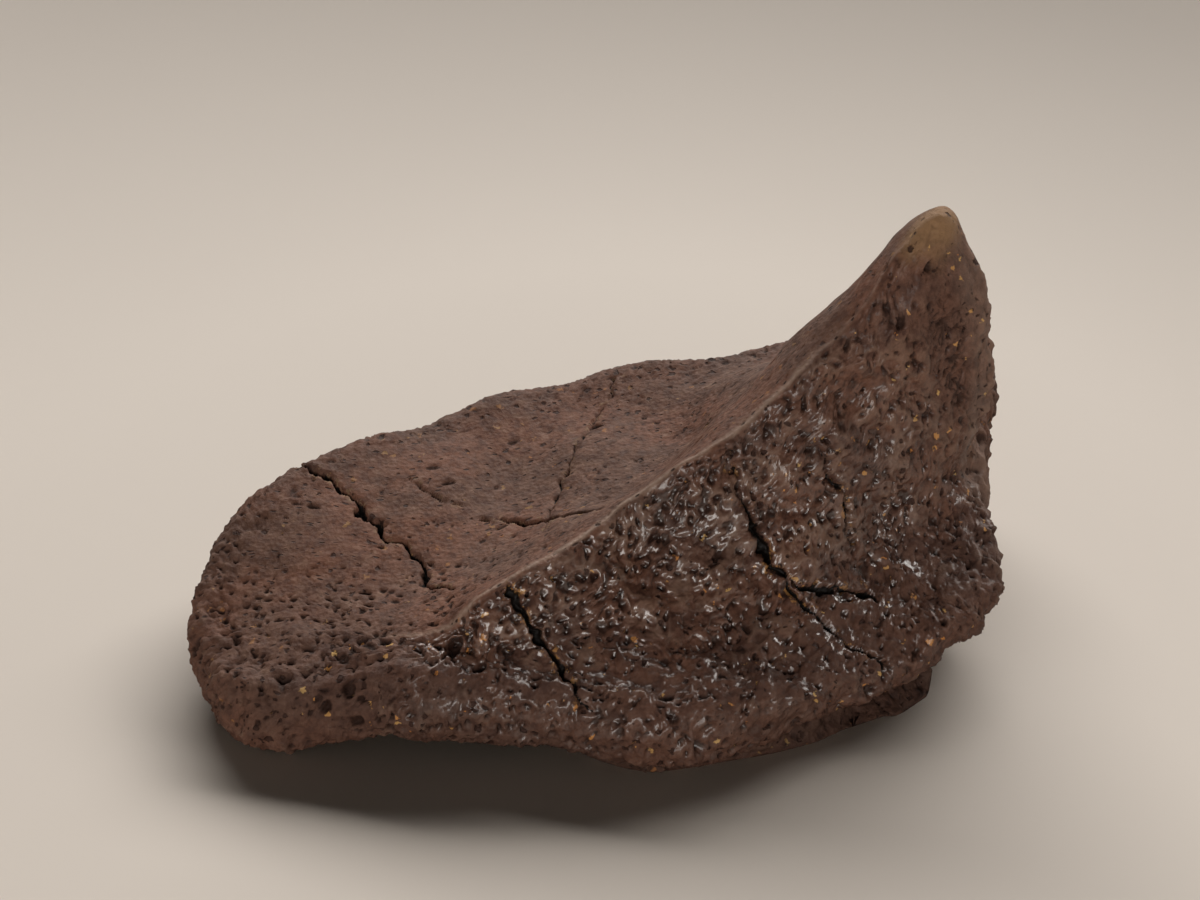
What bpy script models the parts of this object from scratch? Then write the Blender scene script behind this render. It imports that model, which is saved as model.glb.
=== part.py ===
"""Fossil scute (skin-armour bone) of an ankylosaur, one piece, lying on its hollow underside.

An oval plate with a thick rolled rim. A keel starts low at the left front, runs along the
plate and sweeps up into a horn at the right back. Behind the keel lies a wide smooth
hollow face, in front of it a steep pitted one. The underside is hollow and stands on
worn lumps. Lengths are in millimetres until build() turns them into metres. +X runs along
the plate towards the horn, +Y to the back, +Z up, and the lowest lumps stand on Z = 0.
"""

import bmesh
import bpy
import numpy as np
from mathutils import Matrix, Vector
from mathutils.bvhtree import BVHTree

MM = 0.001

# Sizes that drive the form
LIP_INSET = 5.5  # how far the lip of the rim lies inside its widest line
LIP_INSET_AT_HORN = 2.7  # and where the horn's back edge meets the rim
HORN_FOOT_STARTS = 0.84  # share of the keel where the inset starts to change
RIM_ROUND = 0.9  # 1 is a round rim, less is squarer
WIDEST_SHARE = 0.45  # height of the widest line, as a share of the rim's height
KEEL_RADIUS = 1.0  # rounding across the keel
HORN_RADIUS = 2.2  # rounding across the horn's ridge
HORN_STARTS = (0.5, 0.7)  # shares of the keel between which the rounding changes
KEEL_HANDLE = 0.36  # how far a rib keeps its slope at the keel, as a share of its length
LIP_HANDLE = 0.40  # and its slope at the lip
GROOVE_PLACE = (0.6, 0.45)  # the groove's place between low edge and foot, across and in height
ROOF = (8.0, -2.0, 13.0)  # the highest point of the hollow underneath
# Lines of the hollow: how far each lies from the foot to the roof, and its height as a
# share of the roof's and of the foot's
HOLLOW = ((0.12, 0, 1), (0.30, 0.55, 0.2), (0.60, 0.9, 0), (1.00, 1, 0))
CENTRE = (1.9, 2.1)  # middle of the plate's outline, moved onto the origin
SIDE_WIDTH = 5  # ribs over which the rim's outward direction is averaged

# How fine the mesh is
KEEL_COLUMNS = 43  # ribs on each side of the keel
FAN_COLUMNS = 12  # ribs round the left end
LEFT_CROWDING = 0.6  # ribs stand closer at the keel's left end the smaller this is
TIP_SHARE = 0.74  # where the horn's tip lies along the keel, and ribs stand closer
TIP_CROWDING = 1.6
TIP_SPREAD = 0.05
TOP_ROWS = 23
TOP_CROWDING = 1.25  # above 1 the rows stand closer near the keel
RIM_ROWS = 6
UNDER_ROWS = 6
KEEL_SAMPLES = 3000  # points that measure the keel's length
MERGE = 0.02  # corners closer than this are one

# The keel from its left end over the horn's tip and down the horn's back edge
KEEL = (
    (-50, -24, 15.6), (-40, -29, 16.5), (-31, -32, 18.8), (-24, -32, 23.2),
    (-17.3, -29, 27.5), (-10.3, -24.5, 29.7), (0, -18, 33.3), (7, -14, 36.3),
    (17.5, -10.5, 43.2), (24.4, -7.5, 47.2), (33.6, -3, 53.4), (45.4, 2.8, 64.8),
    (50.9, 5.2, 72.6), (57.5, 8, 79.5), (60.2, 9.3, 78.2), (63, 10.8, 71.4),
    (69.4, 12, 57), (71.5, 12, 46.5), (71.8, 11.5, 38.5),
)

# Stations round the rim, clockwise seen from above. Each holds: x and y of the widest
# line, height of the lip and of the low edge, how far the low edge and the foot lie
# inside, height of the foot (below 0 it's worn flat), depth of the groove over the foot,
# share of the keel where its rib starts, and the rib's slope at the keel and at the lip.
LEFT_END = (
    (-56, -43, 14, 1.5, 2, 6, -0.8, 0, 0, 2, 4),
    (-68, -35.5, 13, 1.5, 2.5, 9, 0, 0, 0, 0, 6),
    (-73.2, -23, 14.5, 4.5, 4, 10, 3, 0, 0, 0, 4),
    (-73, -7, 18, 7, 4, 11, 3, 0, 0, 0, -6),
)
BACK = (
    (-66.5, 7.5, 21.5, 8.5, 4, 12, 3, 0, 0.05, 4, -8),
    (-55, 18.5, 23, 10, 4, 12, 1, 0, 0.10, 10, -8),
    (-39.3, 29, 23.2, 10, 4, 12, -0.8, 0, 0.17, 25, -8),
    (-20.3, 39.5, 22.8, 10, 4, 12, 2, 0, 0.24, 32, -8),
    (-3, 46, 24.4, 10.5, 4, 12, 4, 0, 0.32, 36, -6),
    (18, 50, 25.4, 12, 4, 13, 3, 0, 0.43, 34, -2),
    (37, 51.5, 29.2, 14, 4, 14, -0.8, 0, 0.56, -18, 10),
    (55, 54, 30.5, 18, 4, 13.5, -0.8, 0, 0.66, -32, 18),
    (69, 52, 32.5, 21, 4, 10.5, 1, 0, 0.73, -8, 20),
    (76.6, 40, 34, 22, 4, 9.5, 2.5, 0, 0.82, 60, 20),
    (74.8, 24, 30, 17, 4, 9.5, 3, 0, 0.92, 70, 25),
)
HORN_FOOT = ((72.8, 7, 25, 12, 4, 10, 3, 0, 1.00, 70, 25),)
FRONT = (
    (72.3, -9, 20.5, 8, 3, 9, 1, 0, 0.91, 66, 12),
    (67, -22, 17, 8.5, 4, 7.5, -0.8, 2, 0.80, 66, 8),
    (57.5, -29, 15.5, 5, 4, 0.5, -0.8, 3.5, 0.70, 66, 8),
    (47.5, -34.5, 15, 4.5, 4, 0.5, -0.8, 2.5, 0.60, 64, 6),
    (35, -41.5, 15, 3.5, 3, 2, -0.8, 0.5, 0.50, 64, 4),
    (21, -47, 15.5, 2.5, 3, 4, -0.8, 0, 0.41, 63, 4),
    (7, -49, 16, 3, 2.5, 4, -0.8, 0, 0.32, 62, 4),
    (-8, -46, 16.5, 3, 3, 6, 1, 0, 0.25, 58, 4),
    (-26, -44.5, 18.5, 5, 3, 6, 5.5, 0, 0.13, 20, 3),
    (-42, -43.5, 16, 3, 3, 6, 3, 0, 0.05, 5, 2),
)
STATIONS = LEFT_END + BACK + HORN_FOOT + FRONT


def smooth_step(start, end, value):
    share = np.clip((value - start) / (end - start), 0, 1)
    return share * share * (3 - 2 * share)


def path_lengths(points, power=1.0):
    """Distance along a line of points, each step raised to the power, starting at 0."""
    steps = np.linalg.norm(np.diff(points, axis=0), axis=1) ** power
    return np.append(0, np.cumsum(steps))


def spline(knots, values, at, closed=False):
    """Cubic spline through rows of values. The slope at each knot makes its bend continuous."""
    knots, values = np.asarray(knots, float), np.asarray(values, float)
    gap = np.diff(knots)
    rise = np.diff(values, axis=0) / gap[:, None]
    count = len(knots) - 1 if closed else len(knots)
    system = np.zeros((count, count))
    target = np.zeros((count, values.shape[1]))
    for i in range(count):
        if not closed and i in (0, count - 1):
            system[i, i], system[i, 1 if i == 0 else i - 1] = 2, 1
            target[i] = 3 * rise[0 if i == 0 else -1]
            continue
        before, after = gap[i - 1], gap[i]
        system[i, (i - 1) % count] += after
        system[i, i] += 2 * (before + after)
        system[i, (i + 1) % count] += before
        target[i] = 3 * (after * rise[i - 1] + before * rise[i])
    slope = np.linalg.solve(system, target)
    if closed:
        slope = np.vstack([slope, slope[:1]])
    i = np.clip(np.searchsorted(knots, at, side="right") - 1, 0, len(gap) - 1)
    h = gap[i][:, None]
    t = (np.asarray(at) - knots[i])[:, None] / h
    return (
        (2 * t**3 - 3 * t**2 + 1) * values[i]
        + (3 * t**2 - 2 * t**3) * values[i + 1]
        + (t**3 - 2 * t**2 + t) * h * slope[i]
        + (t**3 - t**2) * h * slope[i + 1]
    )


def keel_point(share):
    """Point of the keel at each share of its length."""
    knots = path_lengths(np.array(KEEL, float), 0.5)
    dense = spline(knots, KEEL, np.linspace(0, knots[-1], KEEL_SAMPLES))
    along = path_lengths(dense)
    return np.stack([np.interp(share * along[-1], along, dense[:, i]) for i in range(3)], -1)


def columns():
    """Where each rib stands on the rim, as a share of its length, and on the keel.

    Ribs come in pairs, one on each side of the same keel point, so that the two sides
    meet there. The ribs of the left end all start at the keel's first point.
    """
    table = np.array(STATIONS + STATIONS[:1], float)
    stations = path_lengths(table[:, :2])
    stations /= stations[-1]
    horn_foot = len(LEFT_END) + len(BACK)
    first_back = len(LEFT_END) - 1
    fine = np.linspace(0, 1, KEEL_SAMPLES)
    near_tip = np.exp(-(((fine - TIP_SHARE) / TIP_SPREAD) ** 2))
    crowd = np.cumsum(1 / (fine + LEFT_CROWDING) + TIP_CROWDING * near_tip)
    crowd = (crowd - crowd[0]) / (crowd[-1] - crowd[0])
    keel = np.interp(np.linspace(0, 1, KEEL_COLUMNS + 1), crowd, fine)
    back = spline(
        table[first_back : horn_foot + 1, 8], stations[first_back : horn_foot + 1, None], keel
    )[:, 0]
    front = spline(
        np.append(table[horn_foot:-1, 8], 0)[::-1], stations[horn_foot:][::-1, None], keel
    )[:, 0]
    fan = np.linspace(0, stations[first_back], FAN_COLUMNS + 1)
    ring = np.concatenate([fan, back[1:], front[1:-1][::-1]])
    share = np.concatenate([np.zeros(len(fan)), keel[1:], keel[1:-1][::-1]])
    return spline(stations, table, ring, closed=True), ring, share


def ring_average(values, width):
    """Running average round the ring with soft ends."""
    kernel = np.hanning(width + 2)[1:-1]
    kernel /= kernel.sum()
    padded = np.concatenate([values[-width:], values, values[:width]])
    return np.convolve(padded, kernel, "same")[width:-width]


def form():
    """The smooth scute as a grid of points, rows from the keel over the rim to the roof."""
    stations, ring, share = columns()
    x, y, lip, low, low_inset, foot_inset, foot, groove, _, keel_slope, lip_slope = stations.T
    keel = keel_point(share)
    edge = np.stack([x, y], -1)
    along = np.roll(edge, -1, 0) - np.roll(edge, 1, 0)
    out = np.stack([ring_average(v, SIDE_WIDTH) for v in (-along[:, 1], along[:, 0])], -1)
    out /= np.linalg.norm(out, axis=1, keepdims=True)

    def line_round(inset, height):
        return np.concatenate(
            [edge - out * np.reshape(inset, (-1, 1)), np.reshape(height, (-1, 1))], 1
        )

    lip_inset = LIP_INSET + (LIP_INSET_AT_HORN - LIP_INSET) * smooth_step(HORN_FOOT_STARTS, 1, share)
    end = line_round(lip_inset, lip)
    across = end[:, :2] - keel[:, :2]
    across /= np.linalg.norm(across, axis=1, keepdims=True)
    arriving = across + out
    arriving /= np.linalg.norm(arriving, axis=1, keepdims=True)
    length = np.linalg.norm(end - keel, axis=1, keepdims=True)
    leave, arrive = np.radians(keel_slope)[:, None], np.radians(lip_slope)[:, None]
    first = keel + KEEL_HANDLE * length * np.hstack([across * np.cos(leave), -np.sin(leave)])
    second = end + LIP_HANDLE * length * np.hstack([-arriving * np.cos(arrive), np.sin(arrive)])
    u = (np.linspace(0, 1, TOP_ROWS) ** TOP_CROWDING)[:, None, None]
    v = 1 - u
    top = v**3 * keel + 3 * v**2 * u * first + 3 * v * u**2 * second + u**3 * end
    radius = KEEL_RADIUS + (HORN_RADIUS - KEEL_RADIUS) * smooth_step(*HORN_STARTS, share)
    aside = top[..., :2] - keel[:, :2]
    reach = np.linalg.norm(aside, axis=-1)
    rounded = np.sqrt(reach**2 + 2 * radius * reach * v[..., 0] ** 2)
    top[..., :2] = keel[:, :2] + aside * (rounded / np.maximum(reach, 1e-6))[..., None]

    rows = list(top)
    widest = low + (lip - low) * WIDEST_SHARE
    quarter = np.linspace(0, np.pi / 2, RIM_ROWS // 2 + 1)[1:]
    for angle in quarter:
        inset = lip_inset * (1 - np.sin(angle) ** RIM_ROUND)
        rows.append(line_round(inset, widest + (lip - widest) * np.cos(angle) ** RIM_ROUND))
    for angle in quarter:
        inset = low_inset * (1 - np.cos(angle) ** RIM_ROUND)
        rows.append(line_round(inset, widest - (widest - low) * np.sin(angle) ** RIM_ROUND))

    across_share, height_share = GROOVE_PLACE
    lines = [
        line_round(low_inset, low),
        line_round(
            low_inset + (foot_inset - low_inset) * across_share + groove,
            foot + (low - foot) * height_share,
        ),
        line_round(foot_inset, foot),
    ]
    sole = lines[-1][:, :2]
    for portion, of_roof, of_foot in HOLLOW:
        height = of_roof * ROOF[2] + of_foot * foot
        lines.append(np.column_stack([sole + (ROOF[:2] - sole) * portion, height]))
    lines = np.stack(lines)
    last = len(lines) - 1
    under = np.linspace(0, last, UNDER_ROWS + 1)[1:]
    rows += list(spline(range(last + 1), lines.reshape(last + 1, -1), under).reshape(UNDER_ROWS, -1, 3))
    grid = np.stack(rows)
    grid[..., :2] -= CENTRE
    return grid


# ---- roughness of the bone -------------------------------------------------------------

LUMPS = ((24.0, 0.9, 5), (10.0, 0.45, 8), (5.5, 0.22, 13))  # across, height, seed
SOLE_FADE = 7.0  # lumps fade out over this height, so that the worn feet stay flat
LUMPS_ON_SOLE = 0.15  # share of a lump's height that is left on the feet
WAVES = 7  # crossed waves in each kind of lump
WAVE_SCALE = 2.6  # divides their sum, so that a lump has about its stated height

PITS_SEED = 21
SMALLEST_PITTED = 4.5  # area of the smallest facet that takes a pit
PIT_SHARE = {"front": 0.42, "rim": 0.30, "back": 0.08}  # of the facets in each region
PIT_DEPTH = (0.6, 1.4)
DEEPEST_PIT = 0.5  # as a share of the facet's shortest side

# Holes as big as a lentil: middle, radius and depth. A hole narrows downwards in rings,
# each at a height and with a radius of its own.
HOLES = (
    ((-27.2, -38.1, 19.8), 1.9, 2.4), ((-22.3, -40.5, 18.5), 2.2, 2.2),
    ((-56.4, -39.3, 14.1), 1.7, 2.2), ((-45.3, -43.9, 14.7), 1.5, 2.0),
    ((-43.7, -46.1, 8.7), 1.6, 2.4), ((-49.6, -45.9, 10.9), 1.3, 2.0),
    ((-37.8, -46.1, 8.3), 1.3, 2.0), ((15.0, -50.6, 8.3), 1.5, 2.2),
    ((55.7, 0.7, 71.5), 1.1, 1.8), ((47.5, -1.3, 64.8), 1.1, 1.8),
    ((55.6, -0.5, 64.4), 1.0, 1.6), ((50.0, -2.6, 62.6), 1.1, 1.8),
)
HOLE_ABOVE = 1.5  # how far a hole's cutter stands over the surface
# Its rings under the surface: depth and radius, as shares of the hole's
HOLE_RINGS = ((0.5, 0.85), (1.0, 0.4))
HOLE_MOUTH = 1.25
HOLE_SIDES = 6

# Cracks: depth, how far the first end runs out past the rim, then the points of the line
# over the surface, each with the crack's width
CRACKS = {
    "crack_back_left": (5.0, 5.0, (
        (-56.8, 10.4, 22.6, 4.2), (-53.8, 8.0, 23.2, 2.6), (-49.4, 4.9, 22.4, 1.4), (-44.4, -1.0, 20.9, 2.0),
        (-41.3, -5.6, 19.8, 1.6), (-37.4, -9.3, 19.2, 2.2), (-34.3, -14.7, 18.8, 1.7),
        (-32.2, -19.2, 19.0, 1.9), (-29.3, -22.8, 20.0, 0.8))),
    "crack_back": (3.0, 0, (
        (2.1, 40.1, 25.2, 0.9), (-1.9, 30.9, 24.1, 1.2), (-4.8, 21.9, 23.1, 1.0),
        (-7.6, 13.0, 22.3, 1.3), (-10.3, 4.0, 21.9, 1.2), (-11.4, -4.4, 22.4, 1.0))),
    "crack_hollow": (3.2, 0, (
        (-24.1, -0.6, 20.6, 0.8), (-20.3, -1.7, 20.8, 1.3), (-11.9, -5.3, 22.4, 2.3),
        (-6.4, -6.9, 24.7, 1.6), (-1.0, -15.6, 31.4, 0.7))),
    "crack_twig": (2.0, 0, (
        (-37.5, 7.6, 22.0, 0.8), (-31.7, 3.0, 21.0, 1.2), (-27.0, 2.3, 20.8, 0.7))),
    "crack_keel": (4.5, 0, (
        (-17.3, -31.4, 27.7, 1.6), (-15.6, -33.2, 24.5, 2.3), (-13.1, -35.0, 20.6, 2.2),
        (-9.6, -38.3, 17.7, 1.7), (-6.7, -42.1, 16.5, 2.1), (-5.3, -47.0, 15.2, 1.8), (-2.7, -49.6, 12.6, 0.7))),
    "crack_front": (6.0, 0, (
        (21.4, -13.6, 42.5, 0.7), (22.9, -15.2, 38.0, 1.1), (25.3, -17.9, 31.3, 3.2),
        (27.1, -20.3, 26.6, 3.6), (30.7, -23.5, 21.3, 2.0), (34.2, -25.6, 18.4, 1.7),
        (39.3, -29.3, 15.8, 1.4), (44.3, -32.4, 15.0, 1.6), (47.6, -34.7, 13.5, 2.4),
        (49.5, -36.0, 9.5, 1.0))),
    "crack_crescent": (3.5, 0, (
        (30.2, -22.2, 22.6, 1.0), (33.4, -22.9, 20.8, 2.2), (37.0, -23.0, 19.3, 2.8),
        (39.8, -21.1, 19.8, 2.0), (44.3, -20.9, 18.5, 2.2), (47.8, -22.1, 17.1, 0.9))),
    "groove_horn": (2.4, 0, (
        (35.8, -10.1, 43.0, 0.8), (39.6, -11.6, 35.5, 1.5), (42.5, -12.0, 31.4, 1.7),
        (42.3, -14.4, 26.5, 1.3), (44.1, -15.3, 23.8, 0.8))),
}
CRACK_STEP = 3.0  # length of a cutter's facets
CRACK_SHAKE = 0.45  # how far a crack strays to each side of its line
CRACK_ABOVE = 1.5  # how far a cutter stands over the surface
TURN_PASSES = 6  # how often a cutter's lean is averaged along its line


def waves(points, across, seed):
    """Smooth bumps about `across` wide: crossed waves for each of x, y and z."""
    random = np.random.default_rng(seed)
    moved = np.zeros(points.shape)
    for axis in range(3):
        for _ in range(WAVES):
            direction = random.normal(size=3)
            direction *= 2 * np.pi / across / np.linalg.norm(direction)
            moved[..., axis] += np.sin(points @ direction + random.uniform(0, 2 * np.pi))
    return moved / WAVE_SCALE


def roughened(grid):
    """The form with the bone's lumps, cut flat where it stands."""
    rough = grid.copy()
    fade = LUMPS_ON_SOLE + (1 - LUMPS_ON_SOLE) * smooth_step(0, SOLE_FADE, grid[..., 2:])
    for across, height, seed in LUMPS:
        rough += height * fade * waves(grid, across, seed)
    rough[..., 2] = np.maximum(rough[..., 2], 0)
    return rough


# ---- mesh ------------------------------------------------------------------------------


def new_object(name, bm):
    """Links the bmesh, made in millimetres, as an object in metres."""
    bm.transform(Matrix.Scale(MM, 4))
    mesh = bpy.data.meshes.new(name)
    bm.to_mesh(mesh)
    bm.free()
    made = bpy.data.objects.new(name, mesh)
    bpy.context.scene.collection.objects.link(made)
    return made


def body(grid):
    """The closed surface over the grid, with every facet's region by its row and column."""
    rows, count, _ = grid.shape
    bm = bmesh.new()
    points = [[bm.verts.new(point) for point in row] for row in grid]
    region = bm.faces.layers.int.new("region")
    last_back = FAN_COLUMNS + 1 + KEEL_COLUMNS
    for i in range(rows - 1):
        for j in range(count):
            k = (j + 1) % count
            face = bm.faces.new((points[i][j], points[i + 1][j], points[i + 1][k], points[i][k]))
            on_top = i < TOP_ROWS - 1
            on_rim = TOP_ROWS - 1 <= i < TOP_ROWS + RIM_ROWS
            face[region] = 3 if on_rim else (2 if j < last_back else 1) if on_top else 0
    bmesh.ops.remove_doubles(bm, verts=bm.verts, dist=MERGE)
    bmesh.ops.dissolve_degenerate(bm, edges=bm.edges, dist=MERGE)
    bmesh.ops.recalc_face_normals(bm, faces=bm.faces)
    return bm


def pit(bm):
    """Sinks the middle of some facets, most of them in front of the keel and on the rim."""
    random = np.random.default_rng(PITS_SEED)
    region = bm.faces.layers.int["region"]
    share = (0, PIT_SHARE["front"], PIT_SHARE["back"], PIT_SHARE["rim"])
    chosen = [
        face for face in bm.faces
        if random.random() < share[face[region]]
        and len(face.verts) == 4 and face.calc_area() > SMALLEST_PITTED
    ]
    for face in chosen:
        side = min(edge.calc_length() for edge in face.edges)
        depth = min(random.uniform(*PIT_DEPTH), DEEPEST_PIT * side)
        bmesh.ops.poke(bm, faces=[face], offset=-depth)


def wedge(name, surface, depth, run_out, route):
    """A cutter with a V section that follows a line over the surface."""
    random = np.random.default_rng(len(name))
    route = np.array(route, float)
    along = path_lengths(route[:, :3])
    steps = max(2, round(along[-1] / CRACK_STEP))
    at = np.linspace(0, along[-1], steps + 1)
    line = np.stack([np.interp(at, along, route[:, i]) for i in range(4)], -1)
    near = [surface.find_nearest(Vector(point[:3])) for point in line]
    foot = np.array([hit[0] for hit in near])
    up = np.array([hit[1] for hit in near])
    for _ in range(TURN_PASSES):
        padded = np.vstack([up[:1], up, up[-1:]])
        up = padded[:-2] + 2 * padded[1:-1] + padded[2:]
        up /= np.linalg.norm(up, axis=1, keepdims=True)
    ahead = np.gradient(foot, axis=0)
    side = np.cross(ahead, up)
    side /= np.linalg.norm(side, axis=1, keepdims=True)
    shake = random.uniform(-CRACK_SHAKE, CRACK_SHAKE, len(line))[:, None]
    half = line[:, 3:] / 2 * (1 + CRACK_ABOVE / depth)
    middle = foot + side * shake
    middle[0] -= ahead[0] / np.linalg.norm(ahead[0]) * run_out
    bm = bmesh.new()
    rows = [
        [bm.verts.new(p) for p in (m + s * h + u * CRACK_ABOVE, m - s * h + u * CRACK_ABOVE, m - u * depth)]
        for m, s, h, u in zip(middle, side, half, up)
    ]
    for a, b in zip(rows, rows[1:]):
        for i in range(3):
            k = (i + 1) % 3
            bm.faces.new((a[i], a[k], b[k], b[i]))
    bm.faces.new(rows[0])
    bm.faces.new(rows[-1][::-1])
    bmesh.ops.recalc_face_normals(bm, faces=bm.faces)
    return new_object(name, bm)


def hole_cutter(surface):
    """Short plugs, one for each of the larger holes."""
    bm = bmesh.new()
    for middle, radius, depth in HOLES:
        foot, up, _, _ = surface.find_nearest(Vector(middle))
        side = up.orthogonal().normalized()
        third = up.cross(side)
        rings = []
        heights = [(HOLE_ABOVE, HOLE_MOUTH)] + [(-share * depth, size) for share, size in HOLE_RINGS]
        for height, size in heights:
            ring = [
                foot + up * height + (side * np.cos(a) + third * np.sin(a)) * radius * size
                for a in np.linspace(0, 2 * np.pi, HOLE_SIDES + 1)[:-1]
            ]
            rings.append([bm.verts.new(point) for point in ring])
        for a, b in zip(rings, rings[1:]):
            for i in range(HOLE_SIDES):
                k = (i + 1) % HOLE_SIDES
                bm.faces.new((a[i], a[k], b[k], b[i]))
        bm.faces.new(rings[0][::-1])
        bm.faces.new(rings[-1])
    bmesh.ops.recalc_face_normals(bm, faces=bm.faces)
    return new_object("holes", bm)


def bone():
    """Dark brown fossil bone with a dull lacquer-like shine."""
    material = bpy.data.materials.new("fossil_bone")
    material.use_nodes = True
    shader = material.node_tree.nodes["Principled BSDF"]
    shader.inputs["Base Color"].default_value = (0.085, 0.048, 0.034, 1)
    shader.inputs["Roughness"].default_value = 0.5
    return material


def build():
    for old in list(bpy.data.objects):
        bpy.data.objects.remove(old)
    bm = body(roughened(form()))
    surface = BVHTree.FromBMesh(bm)
    pit(bm)
    scute = new_object("scute", bm)
    scute.data.materials.append(bone())
    cutters = [hole_cutter(surface)]
    cutters += [wedge(name, surface, *crack) for name, crack in CRACKS.items()]
    for cutter in cutters:
        cutter.hide_render = True
        cutter.display_type = "WIRE"
        cut = scute.modifiers.new(cutter.name, "BOOLEAN")
        cut.operation = "DIFFERENCE"
        cut.solver = "EXACT"
        cut.object = cutter


build()
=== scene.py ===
# %% [markdown]
# # A fossil scute, in cells
#
# A scute is a plate of bone that grew in the skin of an armoured dinosaur. This one is
# about 15 cm long. It has a thick rolled rim, a keel that starts low at the left and
# sweeps up into a horn, a wide smooth face behind the keel and a steep pitted face in
# front of it. It is one piece of dark red-brown stone, cracked in several places.
#
# The solid model of the scute is the frame: it gives the place, the size and the main
# form. Everything below makes a finer skin over the same form, with the pits, cracks and
# grain of real bone, and then its colour and shine. Lengths are in millimetres until the
# mesh is made, because bone is easier to think about in millimetres than in metres.

import bpy
import numpy as np
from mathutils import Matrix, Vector


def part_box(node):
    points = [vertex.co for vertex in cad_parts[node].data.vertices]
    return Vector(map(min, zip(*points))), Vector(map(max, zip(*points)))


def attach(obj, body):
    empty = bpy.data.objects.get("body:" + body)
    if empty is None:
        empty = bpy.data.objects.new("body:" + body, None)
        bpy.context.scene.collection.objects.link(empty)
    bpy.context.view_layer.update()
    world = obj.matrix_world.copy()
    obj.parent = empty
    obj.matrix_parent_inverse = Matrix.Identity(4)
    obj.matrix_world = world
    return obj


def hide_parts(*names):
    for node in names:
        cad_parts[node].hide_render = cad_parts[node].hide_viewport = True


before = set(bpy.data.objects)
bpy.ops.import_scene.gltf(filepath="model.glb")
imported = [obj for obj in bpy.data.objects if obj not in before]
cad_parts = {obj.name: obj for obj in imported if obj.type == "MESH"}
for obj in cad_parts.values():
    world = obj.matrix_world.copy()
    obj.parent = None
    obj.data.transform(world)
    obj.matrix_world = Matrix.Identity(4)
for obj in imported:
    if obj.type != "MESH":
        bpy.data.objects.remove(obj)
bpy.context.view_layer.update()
MM = 0.001
LOW, HIGH = (np.array(corner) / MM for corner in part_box("scute"))
print("frame:", sorted(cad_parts), "from", LOW.round(1), "to", HIGH.round(1), "mm")

# %% [markdown]
# ## The lines that the form hangs on
#
# Two lines describe the whole plate. One is the keel, from its low left end over the
# horn's tip and down the horn's back edge. The other is the outline. A rib runs from each
# point of the keel to a point of the outline, turns round the rim and goes on
# underneath to the roof of the hollow. Such a sheet of ribs is easy to steer: moving one
# number moves one part of the bone and nothing else. A sculpted mesh would have no such
# handles.
#
# Each station of the outline holds: x and y of the widest line, height of the lip and of
# the low edge, how far the low edge and the foot lie inside, height of the foot, depth of
# the groove over the foot, share of the keel where its rib starts, and the rib's slope at
# the keel and at the lip.

# %% Keel and outline
KEEL = (
    (-50, -24, 15.6), (-40, -29, 16.5), (-31, -32, 18.8), (-24, -32, 23.2),
    (-17.3, -29, 27.5), (-10.3, -24.5, 29.7), (0, -18, 33.3), (7, -14, 36.3),
    (17.5, -10.5, 43.2), (24.4, -7.5, 47.2), (33.6, -3, 53.4), (45.4, 2.8, 64.8),
    (50.9, 5.2, 72.6), (57.5, 8, 79.5), (60.2, 9.3, 78.2), (63, 10.8, 71.4),
    (69.4, 12, 57), (71.5, 12, 46.5), (71.8, 11.5, 38.5),
)
LEFT_END = (
    (-56, -43, 14, 1.5, 2, 6, -0.8, 0, 0, 2, 4),
    (-68, -35.5, 13, 1.5, 2.5, 9, 0, 0, 0, 0, 6),
    (-73.2, -23, 14.5, 4.5, 4, 10, 3, 0, 0, 0, 4),
    (-73, -7, 18, 7, 4, 11, 3, 0, 0, 0, -6),
)
BACK = (
    (-66.5, 7.5, 21.5, 8.5, 4, 12, 3, 0, 0.05, 4, -8),
    (-55, 18.5, 23, 10, 4, 12, 1, 0, 0.10, 10, -8),
    (-39.3, 29, 23.2, 10, 4, 12, -0.8, 0, 0.17, 25, -8),
    (-20.3, 39.5, 22.8, 10, 4, 12, 2, 0, 0.24, 32, -8),
    (-3, 46, 24.4, 10.5, 4, 12, 4, 0, 0.32, 36, -6),
    (18, 50, 25.4, 12, 4, 13, 3, 0, 0.43, 34, -2),
    (37, 51.5, 29.2, 14, 4, 14, -0.8, 0, 0.56, -18, 10),
    (55, 54, 30.5, 18, 4, 13.5, -0.8, 0, 0.66, -32, 18),
    (69, 52, 32.5, 21, 4, 10.5, 1, 0, 0.73, -8, 20),
    (76.6, 40, 34, 22, 4, 9.5, 2.5, 0, 0.82, 60, 20),
    (74.8, 24, 30, 17, 4, 9.5, 3, 0, 0.92, 70, 25),
)
HORN_FOOT = ((72.8, 7, 25, 12, 4, 10, 3, 0, 1.00, 70, 25),)
FRONT = (
    (72.3, -9, 20.5, 8, 3, 9, 1, 0, 0.91, 66, 12),
    (67, -22, 17, 8.5, 4, 7.5, -0.8, 2, 0.80, 66, 8),
    (57.5, -29, 15.5, 5, 4, 0.5, -0.8, 3.5, 0.70, 66, 8),
    (47.5, -34.5, 15, 4.5, 4, 0.5, -0.8, 2.5, 0.60, 64, 6),
    (35, -41.5, 15, 3.5, 3, 2, -0.8, 0.5, 0.50, 64, 4),
    (21, -47, 15.5, 2.5, 3, 4, -0.8, 0, 0.41, 63, 4),
    (7, -49, 16, 3, 2.5, 4, -0.8, 0, 0.32, 62, 4),
    (-8, -46, 16.5, 3, 3, 6, 1, 0, 0.25, 58, 4),
    (-26, -44.5, 18.5, 5, 3, 6, 5.5, 0, 0.13, 20, 3),
    (-42, -43.5, 16, 3, 3, 6, 3, 0, 0.05, 5, 2),
)
STATIONS = LEFT_END + BACK + HORN_FOOT + FRONT
HORN_TIP = 13  # place of the horn's tip in the keel's list
KEEL_SHARE, LEAVING, ARRIVING = 8, 9, 10  # places in a station
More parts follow.
